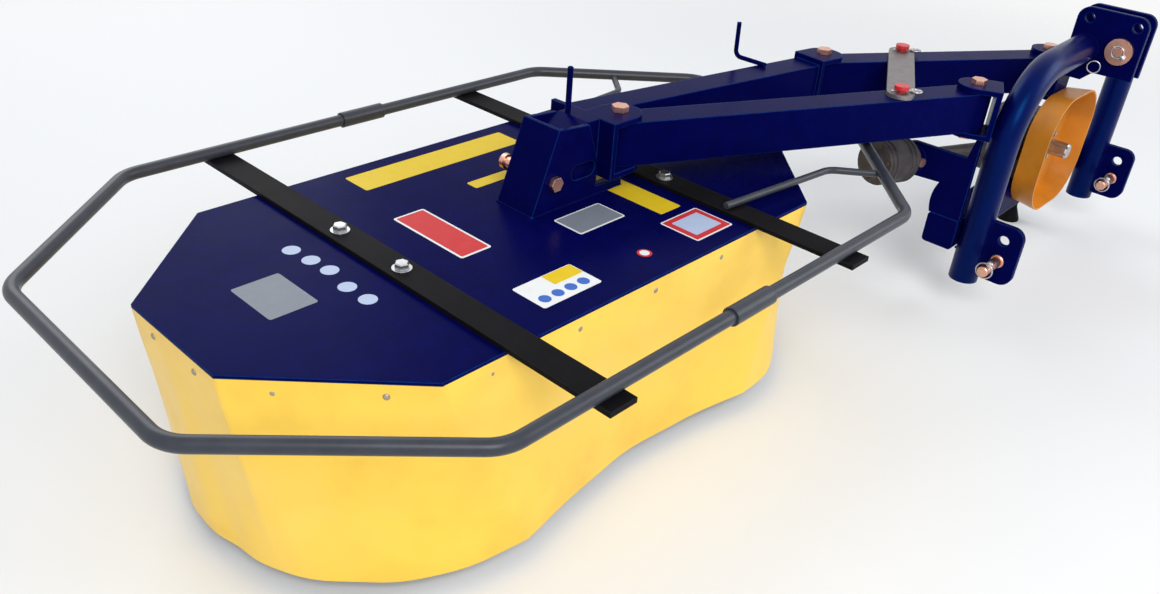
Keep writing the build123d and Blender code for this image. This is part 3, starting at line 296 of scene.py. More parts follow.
def casting(name, color):
    """Painted casting with a grainy skin."""
    material, tree, shader = new_material(name, color, 0.55)
    color_from(tree, shader, noise(tree, 40.0, 8.0), [(0.4, color), (0.8, shade(color, 1.9, 0.01))])
    roughness_from(tree, shader, noise(tree, 24.0), 0.42, 0.68)
    bump_from(tree, shader, noise(tree, 260.0, 6.0, 0.7), 0.35, 0.0012, soft_normal(tree, 0.004))
    return material


def coated_cloth(name, color):
    """Coated cloth: a fine woven ground under a smooth coat, a little uneven in colour."""
    material, tree, shader = new_material(name, color, 0.42)
    shader.inputs["Coat Weight"].default_value = 0.12
    shader.inputs["Coat Roughness"].default_value = 0.3
    shader.inputs["Sheen Weight"].default_value = 0.05
    threads = []
    for direction in ("X", "Z"):
        wave = tree.nodes.new("ShaderNodeTexWave")
        wave.bands_direction = direction
        wave.inputs["Scale"].default_value = 170.0
        wave.inputs["Distortion"].default_value = 0.6
        tree.links.new(object_space(tree), wave.inputs["Vector"])
        threads.append(wave.outputs["Fac"])
    bump_from(tree, shader, math_node(tree, "MULTIPLY", *threads), 0.08, 0.0008)
    red, green, blue = color
    deeper = (0.80 * red, 0.74 * green, 0.6 * blue)
    paler = (min(1.0, 1.04 * red), 1.10 * green, 2.2 * blue)
    color_from(tree, shader, noise(tree, 3.2, 5.0, 0.6), [(0.25, deeper), (0.5, color), (0.8, paler)])
    roughness_from(tree, shader, noise(tree, 14.0), 0.32, 0.52)
    return material


def moulded_plastic(name, color, roughness=0.36):
    """Moulded plastic with faint flow marks."""
    material, tree, shader = new_material(name, color, roughness)
    color_from(tree, shader, noise(tree, 11.0, 3.0), [(0.3, shade(color, 0.78)), (0.7, shade(color, 1.16))])
    roughness_from(tree, shader, noise(tree, 80.0), roughness - 0.05, roughness + 0.12)
    bump_from(tree, shader, noise(tree, 520.0, 2.0), 0.08, 0.0005)
    return material


def label_film(name, color, roughness=0.3):
    """Smooth film with nothing on it."""
    material, tree, shader = new_material(name, color, roughness, specular=0.12)
    color_from(tree, shader, noise(tree, 50.0), [(0.3, color), (0.8, shade(color, 1.05, 0.01))])
    roughness_from(tree, shader, noise(tree, 120.0), roughness - 0.05, roughness + 0.1)
    return material


drum_centers = [(DECK_X + side * DRUM_X, DECK_Y) for side in (-1, 1)]
MATERIALS = {
    # Blue enamel: its edges get a painted azure highlight
    "blue_paint": enamel("blue_paint", BLUE, BLUE_EDGE_HIGHLIGHT, 0.24, gloss_tint=AZURE),
    "tube_paint": enamel("tube_paint", BLUE, BLUE_EDGE_HIGHLIGHT, 0.30, specular=0.32, gloss_tint=AZURE),
    "drum_paint": enamel("drum_paint", BLUE, DRUM_WORN, 0.38),
    "black_bar": enamel("black_bar", BLACK, BLACK_WORN, 0.42, specular=0.03),
    "rail_paint": enamel("rail_paint", SLATE, SLATE_WORN, 0.30, specular=0.30),
    "skirt_cloth": coated_cloth("skirt_cloth", YELLOW),
    "shield_plastic": moulded_plastic("shield_plastic", AMBER),
    "plated_pin": bare_metal("plated_pin", COPPER, 0.32),
    "red_pin": enamel("red_pin", RED, RED_WORN, 0.3, specular=0.4),
    "rivet": bare_metal("rivet", BRONZE, 0.45),
    "bare_steel": bare_metal("bare_steel", ZINC, 0.30),
    "strap_steel": bare_metal("strap_steel", DULL_ZINC, 0.46),
    "grey_casting": casting("grey_casting", DARK_CAST),
    "skid_steel": scuffed_dish("skid_steel", WORN_STEEL, drum_centers),
    "yoke_steel": casting("yoke_steel", RUST_CAST),
}
for name, color in FILMS.items():
    MATERIALS[f"film_{name}"] = label_film(f"film_{name}", color)

# CAD nodes whose finish differs a little from their slot's
OWN_FINISH = {"lock_strap": "strap_steel", "arch": "tube_paint"}


def paint(obj, finish):
    """Give an object one material."""
    obj.data.materials.clear()
    obj.data.materials.append(MATERIALS[finish])


slot_of = {entry["node"]: entry["material_slot"] for entry in frame["record"]["subparts"]}
for name, node in frame["nodes"].items():
    paint(node, OWN_FINISH.get(name, slot_of[name]))


# Mesh makers
def add_object(name, data):
    """Put a mesh, lamp or camera into the scene."""
    obj = bpy.data.objects.new(name, data)
    bpy.context.scene.collection.objects.link(obj)
    return obj


def mesh_object(name, build):
    """Mesh object from a bmesh that build(bm) fills."""
    mesh = bpy.data.meshes.new(name)
    bm = bmesh.new()
    build(bm)
    bmesh.ops.recalc_face_normals(bm, faces=bm.faces)
    bm.to_mesh(mesh)
    bm.free()
    return add_object(name, mesh)


def smooth(mesh, angle):
    """Smooth shading that keeps edges over the given angle sharp."""
    mesh.shade_smooth()
    mesh.set_sharp_from_angle(angle=radians(angle))


def piece(name, build, body, finish, angle=SMOOTH_ANGLE):
    """Make a piece that rides on a body, painted with a finish and shaded smooth up to an angle."""
    obj = mesh_object(name, build)
    paint(obj, finish)
    smooth(obj.data, angle)
    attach(obj, body)
    return obj


def axes_about(axis):
    """Unit vectors along an axis and square to it."""
    along = Vector(axis).normalized()
    side = along.orthogonal().normalized()
    return along, side, along.cross(side)


def around(at, side, across, turn, radius):
    """Point at a radius from a place, turned from side towards across."""
    return at + (side * cos(turn) + across * sin(turn)) * radius


def skin(bm, rings, closed=False):
    """Faces between rings of points, and over both ends of an open row. A ring may be one point."""
    pairs = list(zip(rings, rings[1:]))
    if closed:
        pairs.append((rings[-1], rings[0]))
    for low, high in pairs:
        count = max(len(low), len(high))
        for i in range(count):
            j = (i + 1) % count
            corners = [low[i % len(low)], low[j % len(low)], high[j % len(high)], high[i % len(high)]]
            bm.faces.new(list(dict.fromkeys(corners)))
    if not closed:
        for ring in (rings[0], rings[-1]):
            if len(ring) > 1:
                bm.faces.new(ring)


def turned(bm, at, axis, profile, segments=32):
    """Solid of revolution about an axis: profile is (radius, height) from bottom to top."""
    at = Vector(at)
    along, side, across = axes_about(axis)
    rings = []
    for radius, height in profile:
        center = at + along * height
        turns = [2 * pi * i / segments for i in range(segments if radius > 0 else 1)]
        rings.append([bm.verts.new(around(center, side, across, turn, radius)) for turn in turns])
    skin(bm, rings)


def hex_head(bm, at, axis, across_flats, height, washer_r=None, washer_t=0.0015):
    """Hexagon head with a crowned top, on a washer."""
    at = Vector(at)
    along = Vector(axis).normalized()
    if washer_r:
        turned(bm, at, along, [(washer_r, 0), (washer_r, washer_t), (0.6 * washer_r, washer_t * 1.01)], 28)
        at = at + along * washer_t
    radius = across_flats / sqrt(3)
    turned(bm, at, along, [(radius, 0), (radius, 0.82 * height), (0.84 * radius, height)], 6)


def dome(bm, at, axis, radius, height, rows=5, segments=20):
    """Rivet head."""
    turns = [pi / 2 * i / rows for i in range(rows)]
    profile = [(radius * cos(turn), height * sin(turn)) for turn in turns]
    turned(bm, at, axis, profile + [(0, height)], segments)


def tube(bm, points, radius, segments=8, closed=False, ripple=0.0):
    """Round wire along a list of points, with flat ends. Ripple makes every other ring a little thicker."""
    points = [Vector(p) for p in points]
    count = len(points)
    rings = []
    side = None
    for i, p in enumerate(points):
        before = points[i - 1] if i or closed else p
        after = points[(i + 1) % count] if i < count - 1 or closed else p
        along = (after - before).normalized()
        if side is None:
            side = along.orthogonal().normalized()
        side = (side - along * side.dot(along)).normalized()
        across = along.cross(side)
        size = radius * (1 + ripple * (-1) ** i)
        turns = [2 * pi * k / segments for k in range(segments)]
        rings.append([bm.verts.new(around(p, side, across, turn, size)) for turn in turns])
    skin(bm, rings, closed)


def plate(bm, corners, low, high):
    """Flat plate between two heights over a convex outline of (x, y) points."""
    skin(bm, [[bm.verts.new((x, y, z)) for x, y in corners] for z in (low, high)])


def on_line(start, end, step=0.004):
    """Points every few millimetres on a line, both ends included."""
    start, end = Vector(start), Vector(end)
    count = max(2, round((end - start).length / step))
    return [start.lerp(end, i / count) for i in range(count + 1)]


def on_ring(at, axis, radius, start=0.0, step=0.004):
    """Points on a circle about an axis, at least six, and then the first one again."""
    _, side, across = axes_about(axis)
    count = max(6, round(2 * pi * radius / step))
    turns = [radians(start + 360.0 * i / count) for i in range(count + 1)]
    return [around(Vector(at), side, across, turn, radius) for turn in turns]


def wire_ring(bm, at, axis, radius, wire_r, step=0.0025):
    """Closed ring of round wire about an axis."""
    tube(bm, on_ring(at, axis, radius, step=step)[:-1], wire_r, closed=True)


def bolt_circle(bm, at, axis, radius, across_flats, height, way=1, start=0.0, washer_r=None):
    """Six hexagon bolts on a circle: their heads point along the axis, or against it where way is -1."""
    for point in on_ring(at, axis, radius, start, step=radius)[:-1]:
        hex_head(bm, point, Vector(axis) * way, across_flats, height, washer_r)


# Skirt
def octagon():
    """Corners of the deck's octagon, clockwise seen from above, starting at the far right."""
    inner_l = DECK_HALF_L - DECK_CUT_X
    inner_w = DECK_HALF_W - DECK_CUT_Y
    return [
        (inner_l, DECK_HALF_W), (DECK_HALF_L, inner_w), (DECK_HALF_L, -inner_w), (inner_l, -DECK_HALF_W),
        (-inner_l, -DECK_HALF_W), (-DECK_HALF_L, -inner_w), (-DECK_HALF_L, inner_w), (-inner_l, DECK_HALF_W),
    ]


def sides_of(corners):
    """Pairs of neighbouring points on a closed outline."""
    return list(zip(corners, corners[1:] + corners[:1]))


def side_points(start, end, count):
    """Evenly spaced points on a side, without the last one."""
    (x0, y0), (x1, y1) = start, end
    shares = [k / count for k in range(count)]
    return [(x0 + (x1 - x0) * share, y0 + (y1 - y0) * share) for share in shares]


def arc_points(start, mid, end, count):
    """Points on the circle arc through three points, without the last one."""
    (x0, y0), (x1, y1), (x2, y2) = start, mid, end
    det = 2 * (x0 * (y1 - y2) + x1 * (y2 - y0) + x2 * (y0 - y1))
    s0, s1, s2 = x0 * x0 + y0 * y0, x1 * x1 + y1 * y1, x2 * x2 + y2 * y2
    cx = (s0 * (y1 - y2) + s1 * (y2 - y0) + s2 * (y0 - y1)) / det
    cy = (s0 * (x2 - x1) + s1 * (x0 - x2) + s2 * (x1 - x0)) / det
    radius = hypot(x0 - cx, y0 - cy)
    first = atan2(y0 - cy, x0 - cx)
    sweep = (atan2(y2 - cy, x2 - cx) - first) % (2 * pi)
    middle = (atan2(y1 - cy, x1 - cx) - first) % (2 * pi)
    if middle > sweep:
        sweep -= 2 * pi
    turns = [first + sweep * i / count for i in range(count)]
    return [(cx + radius * cos(turn), cy + radius * sin(turn)) for turn in turns]


def lobed_edge():
    """The skirt's lower edge: eight arcs that face the octagon's eight sides."""
    points = []
    mids = []
    for sign in (1, -1):
        for turns, found in ((SKIRT_LOBE_TURNS, points), (SKIRT_MID_TURNS, mids)):
            for angle in turns:
                turn = radians(angle if sign > 0 else angle + 180)
                found.append((sign * SKIRT_LOBE_X + SKIRT_LOBE_R * cos(turn), SKIRT_LOBE_R * sin(turn)))
        mids.append((0, -sign * SKIRT_WAIST))
    edge = []
    for (start, end), mid in zip(sides_of(points), mids):
        edge += arc_points(start, mid, end, SKIRT_COLUMNS)
    return edge


def drawn_in(turn, share):
    """How far the cloth hangs in with its folds and ripples, at a direction and a share of its height."""
    fold = 0.5 - 0.5 * cos(11 * turn + 1.3) * cos(3 * turn + 0.4)
    ripple = 0.5 - 0.5 * cos(27 * turn + 4.0 * share)
    hang = sin(pi * (0.12 + 0.88 * share) * 0.62)
    held_at_top = min(1.0, 3 * share)
    return (FOLD_DEPTH * fold + RIPPLE_DEPTH * ripple) * hang * held_at_top


def build_skirt(bm):
    """Cloth wall from the deck's edge down to the lobed edge, with soft folds."""
    top = [point for start, end in sides_of(octagon()) for point in side_points(start, end, SKIRT_COLUMNS)]
    low = lobed_edge()
    count = len(top)
    rows = []
    for row in range(SKIRT_ROWS + 1):
        share = row / SKIRT_ROWS
        z = SKIRT_TOP_Z + (SKIRT_LOW_Z - SKIRT_TOP_Z) * share
        line = []
        for k in range(count):
            x = top[k][0] + (low[k][0] - top[k][0]) * share
            y = top[k][1] + (low[k][1] - top[k][1]) * share
            pull = 1 - drawn_in(2 * pi * k / count, share) / hypot(x, y)
            line.append(bm.verts.new((DECK_X + x * pull, DECK_Y + y * pull, z)))
        rows.append(line)
    for upper, lower in zip(rows, rows[1:]):
        for k in range(count):
            j = (k + 1) % count
            bm.faces.new([upper[k], lower[k], lower[j], upper[j]])


def build_punch(bm):
    """Round bar that cuts the input stub's hole in the skirt."""
    near, far = INPUT_HOLE_REACH
    turned(bm, (DECK_X, DECK_Y, INPUT_Z), (1, 0, 0), [(INPUT_HOLE_R, near), (INPUT_HOLE_R, far)], 48)


def apply_modifiers(obj):
    """Turn an object's modifiers into plain mesh."""
    bpy.context.view_layer.update()
    graph = bpy.context.evaluated_depsgraph_get()
    mesh = bpy.data.meshes.new_from_object(obj.evaluated_get(graph))
    obj.modifiers.clear()
    obj.data = mesh


def path_length(corners):
    """Length of a closed line through (x, y) points."""
    return sum(hypot(x1 - x0, y1 - y0) for (x0, y0), (x1, y1) in sides_of(corners))


skirt = piece("skirt_curtain", build_skirt, "deck", "skirt_cloth", angle=CLOTH_SMOOTH_ANGLE)
thick = skirt.modifiers.new("thick", "SOLIDIFY")
thick.thickness = SKIRT_THICK
thick.offset = -1.0
punch = mesh_object("punch", build_punch)
hole = skirt.modifiers.new("hole", "BOOLEAN")
hole.operation = "DIFFERENCE"
hole.object = punch
hole.solver = "EXACT"
apply_modifiers(skirt)
bpy.data.objects.remove(punch)
smooth(skirt.data, CLOTH_SMOOTH_ANGLE)
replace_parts(skirt, "skirt")
skirt_run = (path_length(octagon()) + path_length(lobed_edge())) / 2

# Rivets round the cover's folded edge
RIVET_R = 0.0048
RIVET_H = 0.0026
RIVET_SINK = 0.0012
RIVET_PITCH = 0.17
RIVET_DROP = 0.024


def build_rivets(bm):
    """Evenly spaced rivet heads on each of the cover's sides."""
    z = DECK_TOP_Z - RIVET_DROP
    for (x0, y0), (x1, y1) in sides_of(octagon()):
        length = hypot(x1 - x0, y1 - y0)
        out_x, out_y = (y0 - y1) / length, (x1 - x0) / length
        count = max(2, round(length / RIVET_PITCH))
        for k in range(count):
            share = (k + 0.5) / count
            x = DECK_X + x0 + (x1 - x0) * share - out_x * RIVET_SINK
            y = DECK_Y + y0 + (y1 - y0) * share - out_y * RIVET_SINK
            dome(bm, (x, y, z), (out_x, out_y, 0), RIVET_R, RIVET_H)


piece("skirt_rivets", build_rivets, "deck", "rivet", angle=RIVET_SMOOTH_ANGLE)

# Blank labels on the deck: level 1 lies on the paint, and each higher level on the one below
LABEL_T = 0.0004
LABEL_CORNER_R = 0.004
LABEL_FIELDS = (
    # name, film, centre x, centre y, size along x, size along y, level
    ("label_grey_left", "grey", -1.716, 0.437, 0.074, 0.100, 1),
    ("label_red_border", "white", -1.424, 0.440, 0.060, 0.166, 1),
    ("label_red_field", "red", -1.424, 0.440, 0.052, 0.158, 2),
    ("label_grey_border", "white", -1.206, 0.330, 0.106, 0.062, 1),
    ("label_grey_field", "grey", -1.206, 0.330, 0.100, 0.056, 2),
    ("label_square_border", "white", -1.083, 0.206, 0.094, 0.079, 1),
    ("label_square_field", "red", -1.083, 0.206, 0.088, 0.073, 2),
    ("label_square_inner", "pale_blue", -1.083, 0.206, 0.066, 0.052, 3),
    ("label_white", "white", -1.400, 0.211, 0.117, 0.067, 1),
    ("label_white_head", "yellow", -1.372, 0.229, 0.058, 0.028, 2),
    ("strip_far", "yellow", -1.249, 0.664, 0.350, 0.062, 1),
    ("strip_bracket", "yellow", -1.230, 0.542, 0.090, 0.026, 1),
    ("strip_right_a", "yellow", -1.060, 0.470, 0.056, 0.090, 1),
    ("strip_right_b", "yellow", -1.076, 0.340, 0.052, 0.150, 1),
)
# A column of dots at the left, four under the white label's head, and a round mark in two colours
COLUMN_DOTS = ((-1.629, 0.533), (-1.624, 0.490), (-1.620, 0.449), (-1.628, 0.395), (-1.626, 0.350))
HEAD_DOTS = [(-1.440 + 0.026 * k, 0.196) for k in range(4)]
ROUND_MARK = ((-1.227, 0.195),)
LABEL_DOTS = (
    # name, film, centres, radius, level, segments
    ("deck_dots", "pale_blue", COLUMN_DOTS, 0.0135, 1, 24),
    ("label_white_dots", "blue", HEAD_DOTS, 0.0095, 2, 20),
    ("round_mark", "red", ROUND_MARK, 0.012, 1, 24),
    ("round_mark_center", "white", ROUND_MARK, 0.008, 2, 24),
)


def rounded_rectangle(cx, cy, lx, ly, radius, steps=5):
    """Outline of a label with rounded corners."""
    points = []
    for sx, sy, start in ((1, 1, 0), (-1, 1, 90), (-1, -1, 180), (1, -1, 270)):
        for i in range(steps + 1):
            turn = radians(start + 90 * i / steps)
            points.append((cx + sx * (lx / 2 - radius) + radius * cos(turn),
                           cy + sy * (ly / 2 - radius) + radius * sin(turn)))
    return points


def build_field(bm, cx, cy, lx, ly, level):
    """One flat field of a label, with smaller corners on the upper levels."""
    outline = rounded_rectangle(cx, cy, lx, ly, LABEL_CORNER_R if level == 1 else LABEL_CORNER_R / 2)
    plate(bm, outline, DECK_TOP_Z + LABEL_T * (level - 1), DECK_TOP_Z + LABEL_T * level)


def build_dots(bm, centers, radius, level, segments):
    """Round flat dots."""
    for x, y in centers:
        at = (x, y, DECK_TOP_Z + LABEL_T * (level - 1))
        turned(bm, at, (0, 0, 1), [(radius, 0), (radius, LABEL_T)], segments)


for name, film, *field in LABEL_FIELDS:
    piece(name, lambda bm: build_field(bm, *field), "deck", f"film_{film}")
for name, film, *dots in LABEL_DOTS:
    piece(name, lambda bm: build_dots(bm, *dots), "deck", f"film_{film}")

# Bolts of the cross bars
BAR_BOLTS = (
    # x, y
    (-1.547, 0.529), (-1.547, 0.378), (-0.995, 0.529), (-0.995, 0.348),
)
BAR_BOLT_FLATS = 0.019
BAR_BOLT_H = 0.009
BAR_WASHER_R = 0.015
bar_top_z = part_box("cross_bar_left")[1].z
for number, (x, y) in enumerate(BAR_BOLTS, 1):
    piece(
        f"bar_bolt_{number}",
        lambda bm: hex_head(bm, (x, y, bar_top_z), (0, 0, 1), BAR_BOLT_FLATS, BAR_BOLT_H, BAR_WASHER_R),
        "deck", "bare_steel",
    )

# Welds: beads where the bracket, the ears, the beam and the top plates meet what carries them
BEAD_R = 0.0026
BEAD_RIPPLE = 0.09
EAR_BEAD_Y = -0.0185
EAR_BEAD_IN = 0.004
POST_X = 0.3415
BEAM_BEAD_HALF_L = 0.011
BEAM_BEAD_OUT = 0.001
TOP_BEAD_X = 0.0335
TOP_BEAD_Y = 0.010
TOP_BEAD_Z = 0.2335
TOP_BEAD_R = 0.0305
bracket_low, bracket_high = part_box("tilt_bracket")
beam_low, beam_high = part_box("crossbeam")
ear_low, ear_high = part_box("hitch_ear_near")
ear_face_xs = [corner.x for side in ("near", "far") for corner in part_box(f"hitch_ear_{side}")]
beam_bead_y = beam_low.y - BEAM_BEAD_OUT


def bracket_bead(x0, y0, x1, y1):
    """Bead on the deck's top between two corners of the bracket."""
    return on_line((x0, y0, DECK_TOP_Z), (x1, y1, DECK_TOP_Z))


WELDS = (
    # name, body, runs of points
    ("weld_bracket", "deck", [
        bracket_bead(bracket_low.x, bracket_low.y, bracket_low.x, bracket_high.y),
        bracket_bead(bracket_low.x, bracket_low.y, bracket_high.x, bracket_low.y),
        bracket_bead(bracket_low.x, bracket_high.y, bracket_high.x, bracket_high.y),
    ]),
    ("weld_ears", "headstock", [
        on_line((x, EAR_BEAD_Y, ear_low.z + EAR_BEAD_IN), (x, EAR_BEAD_Y, ear_high.z - EAR_BEAD_IN))
        for x in ear_face_xs
    ]),
    ("weld_beam", "headstock", [
        on_line((x - BEAM_BEAD_HALF_L, beam_bead_y, z), (x + BEAM_BEAD_HALF_L, beam_bead_y, z))
        for z in (beam_high.z, beam_low.z) for x in (-POST_X, POST_X)
    ]),
    ("weld_top_plates", "headstock", [
        on_ring((side * TOP_BEAD_X, TOP_BEAD_Y, TOP_BEAD_Z), (1, 0, 0), TOP_BEAD_R) for side in (-1, 1)
    ]),
)


def build_beads(bm, runs):
    """Rippled beads along runs of points."""
    for run in runs:
        tube(bm, run, BEAD_R, ripple=BEAD_RIPPLE)


for name, body, runs in WELDS:
    piece(name, lambda bm: build_beads(bm, runs), body, "blue_paint", angle=BEAD_SMOOTH_ANGLE)

# Lynch pins, the lower hitch pins' collars and the strap's clips
HITCH_PINS = (
    # side, y
    ("near", -0.050),
    ("far", -0.052),
)
HITCH_PIN_Z = -0.146
HITCH_LYNCH_IN = 0.014
HITCH_COLLAR = [(0.0145, 0), (0.0145, 0.004), (0.0125, 0.006)]
TOP_PIN_TIP = Vector((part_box("top_link_pin")[0].x, -0.061, 0.244))
TOP_LYNCH_IN = 0.006


def build_lynch(bm, at, axis, lean, ring_r=0.0165, pin_r=0.0036, reach=0.019):
    """Lynch pin through the free end of a pin: stem along lean, head, and a sprung ring round the end."""
    at = Vector(at)
    profile = [(0.0015, -reach), (pin_r, -reach + 0.004), (pin_r, reach - 0.007), (0.0062, reach - 0.006),
               (0.0062, reach + 0.002), (0.0035, reach + 0.004)]
    turned(bm, at, lean, profile, 20)
    wire_ring(bm, at + Vector(axis) * 0.004, axis, ring_r, 0.0016)


for side, y in HITCH_PINS:
    tip_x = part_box(f"hitch_pin_{side}")[0].x
    ear_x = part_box(f"hitch_ear_{side}")[0].x
    lynch_at = (tip_x + HITCH_LYNCH_IN, y, HITCH_PIN_Z)
    piece(f"lynch_hitch_{side}", lambda bm: build_lynch(bm, lynch_at, (-1, 0, 0), (0, -0.35, 0.94)),
          "headstock", "bare_steel")
    collar_at = (ear_x, y, HITCH_PIN_Z)
    piece(f"hitch_collar_{side}", lambda bm: turned(bm, collar_at, (-1, 0, 0), HITCH_COLLAR, 28),
          "headstock", "plated_pin")


def build_top_lynch(bm):
    """Lynch pin across the top-link pin's end, its ring hanging down, and a second ring behind it."""
    at = TOP_PIN_TIP + Vector((TOP_LYNCH_IN, 0, 0))
    build_lynch(bm, at, (-1, 0, 0), (0, -0.8, -0.6), ring_r=0.012, pin_r=0.003, reach=0.016)
    wire_ring(bm, TOP_PIN_TIP + Vector((0.003, 0.036, -0.040)), (1, 0.2, 0), 0.0125, 0.0015)


piece("lynch_top", build_top_lynch, "headstock", "bare_steel")


def build_strap_clips(bm):
    """Small wire clips by the strap's two pins: a straight wire with a ring on it."""
    way = Vector((0.75, -0.66, 0))
    for node in ("strap_pin_near", "strap_pin_far"):
        low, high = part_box(node)
        at = Vector(((low.x + high.x) / 2, (low.y + high.y) / 2, high.z - 0.0105))
        tube(bm, [at - way * 0.020, at + way * 0.040], 0.0017)
        wire_ring(bm, at + way * 0.030, (0, 0, 1), 0.0105, 0.0015, step=0.0020)


piece("strap_clips", build_strap_clips, "near_link", "bare_steel")

# Splined stubs on the headstock and the deck
SPLINE_TEETH = 6
SPLINE_OUTER_R = 0.01735
SPLINE_ROOT_R = 0.0148
SPLINE_TOOTH = (
    # degrees from the tooth's middle, radius
    (-16, SPLINE_OUTER_R), (-6, SPLINE_OUTER_R), (6, SPLINE_OUTER_R), (16, SPLINE_OUTER_R),
    (19, SPLINE_ROOT_R), (30, SPLINE_ROOT_R), (41, SPLINE_ROOT_R),
)
SPLINE_BEVEL_L = 0.003
SPLINE_BEVEL_IN = 0.0022
SEAT_R = 0.0199
SEAT_NECK_R = 0.0178
INPUT_SEAT_Y = 0.034
DECK_SEAT_L = 0.043


def build_spline(bm, start, axis, length, seat):
    """Splined stub: toothed outline swept along the axis, with a bevelled tip and a plain seat behind."""
    start = Vector(start)
    along, side, across = axes_about(axis)
    outline = [
        (radians(360 / SPLINE_TEETH * k + offset), radius)
        for k in range(SPLINE_TEETH) for offset, radius in SPLINE_TOOTH
    ]
    tip_r = SPLINE_OUTER_R - SPLINE_BEVEL_IN
    rings = []
    for height, limit in ((0, SPLINE_OUTER_R), (length - SPLINE_BEVEL_L, SPLINE_OUTER_R), (length, tip_r)):
        center = start + along * height
        rings.append([
            bm.verts.new(around(center, side, across, turn, min(radius, limit))) for turn, radius in outline
        ])
    skin(bm, rings)
    turned(bm, start, along, [(SEAT_R, -seat), (SEAT_R, 0), (SEAT_NECK_R, 0.0015), (SEAT_NECK_R, 0.003)], 36)


def build_input_spline(bm):
    """The input stub on the headstock's gearbox, pointing at the tractor."""
    low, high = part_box("input_shaft")
    build_spline(bm, (0, INPUT_SEAT_Y, 0), (0, -1, 0), INPUT_SEAT_Y - low.y, high.y - INPUT_SEAT_Y)


def build_deck_spline(bm):
    """The stub on the deck's right end, which the side shaft drives."""
    low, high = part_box("deck_input_shaft")
    seat_end = low.x + DECK_SEAT_L
    build_spline(bm, (seat_end, DECK_Y, INPUT_Z), (1, 0, 0), high.x - seat_end, DECK_SEAT_L)


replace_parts(piece("input_spline", build_input_spline, "input_rotor", "bare_steel"), "input_shaft")
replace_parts(piece("deck_spline", build_deck_spline, "deck_input", "bare_steel"), "deck_input_shaft")

# Side shaft: the clutch's rings and bolts, and the yoke between the clutch and the bearing
SIDE_AXIS = Vector((-0.347, 0.098, 0.023)).normalized()
CLUTCH_AT = Vector((-0.447, 0.190, 0.023))
CLUTCH_HALF_L = 0.042
CLUTCH_RING = [(0.0440, 0), (0.0478, 0.0008), (0.0478, 0.0032), (0.0440, 0.004)]
CLUTCH_RINGS_ALONG = (-0.034, -0.022, 0.022, 0.034)
CLUTCH_RING_HALF_L = 0.002
CLUTCH_BOLTS_R = 0.036
YOKE_BACK = 0.068
YOKE_HALF_L = 0.014
YOKE_COLLAR = [(0.020, 0), (0.027, 0.002), (0.027, 0.024), (0.022, 0.028)]
YOKE_PIN_HALF_L = 0.033
YOKE_PIN = [(0.008, 0), (0.0095, 0.001), (0.0095, 0.065), (0.008, 0.066)]


def build_clutch_rings(bm):
    """Cooling fins and a bolt circle at each end of the clutch drum."""
    for offset in CLUTCH_RINGS_ALONG:
        turned(bm, CLUTCH_AT + SIDE_AXIS * (offset - CLUTCH_RING_HALF_L), SIDE_AXIS, CLUTCH_RING, 48)
    for way in (-1, 1):
        end_at = CLUTCH_AT + SIDE_AXIS * CLUTCH_HALF_L * way
        bolt_circle(bm, end_at, SIDE_AXIS, CLUTCH_BOLTS_R, 0.008, 0.004, way=way)


def build_yoke(bm):
    """Round collar of the yoke with its cross pin."""
    at = CLUTCH_AT - SIDE_AXIS * YOKE_BACK
    across = SIDE_AXIS.cross(Vector((0, 0, 1))).normalized()
    turned(bm, at - SIDE_AXIS * YOKE_HALF_L, SIDE_AXIS, YOKE_COLLAR, 32)
    turned(bm, at - across * YOKE_PIN_HALF_L, across, YOKE_PIN, 20)


piece("clutch_fins", build_clutch_rings, "side_rotor", "grey_casting", angle=CLUTCH_SMOOTH_ANGLE)
piece("side_shaft_yoke", build_yoke, "side_rotor", "yoke_steel")

# Gearbox
FRONT_BOLTS_R = 0.052
FRONT_BOLTS_OUT = 0.0042
BACK_BOLTS_R = 0.038
BACK_BOLTS_OUT = 0.0045
COVER_Z = -0.004
COVER_PROFILE = [(0.047, 0), (0.047, 0.004), (0.045, 0.005), (0.028, 0.005), (0.026, 0.009), (0.022, 0.010)]
gearbox_front_y, gearbox_back_y = (corner.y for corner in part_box("headstock_gearbox"))


def build_gearbox_bolts(bm):
    """Bolt circle round the input bearing in front, and the cover's bolts at the back."""
    front_at = (0, gearbox_front_y - FRONT_BOLTS_OUT, 0)
    bolt_circle(bm, front_at, (0, 1, 0), FRONT_BOLTS_R, 0.010, 0.005, way=-1, start=30, washer_r=0.009)
    back_at = (0, gearbox_back_y + BACK_BOLTS_OUT, COVER_Z)
    bolt_circle(bm, back_at, (0, 1, 0), BACK_BOLTS_R, 0.009, 0.006, start=15)


def build_gearbox_cover(bm):
    """Round cover with a raised middle on the gearbox's back."""
    turned(bm, (0, gearbox_back_y, COVER_Z), (0, 1, 0), COVER_PROFILE, 48)


piece("gearbox_bolts", build_gearbox_bolts, "headstock", "bare_steel")
piece("gearbox_cover", build_gearbox_cover, "headstock", "grey_casting")

# Parking leg
LEG_PIN_DROP = 0.020
LEG_PIN_OUT = 0.018
LEG_PIN_PROFILE = [
    # radius, height
    (0.009, 0), (0.009, 0.010), (0.0045, 0.012), (0.0045, 0.022), (0.0075, 0.024), (0.0075, 0.030),
]
LEG_RING_OUT = 0.044
leg_low, leg_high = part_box("parking_leg")
leg_pin_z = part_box("leg_sleeve")[1].z - LEG_PIN_DROP
leg_pin_at = Vector(((leg_low.x + leg_high.x) / 2, (leg_low.y + leg_high.y) / 2, leg_pin_z))


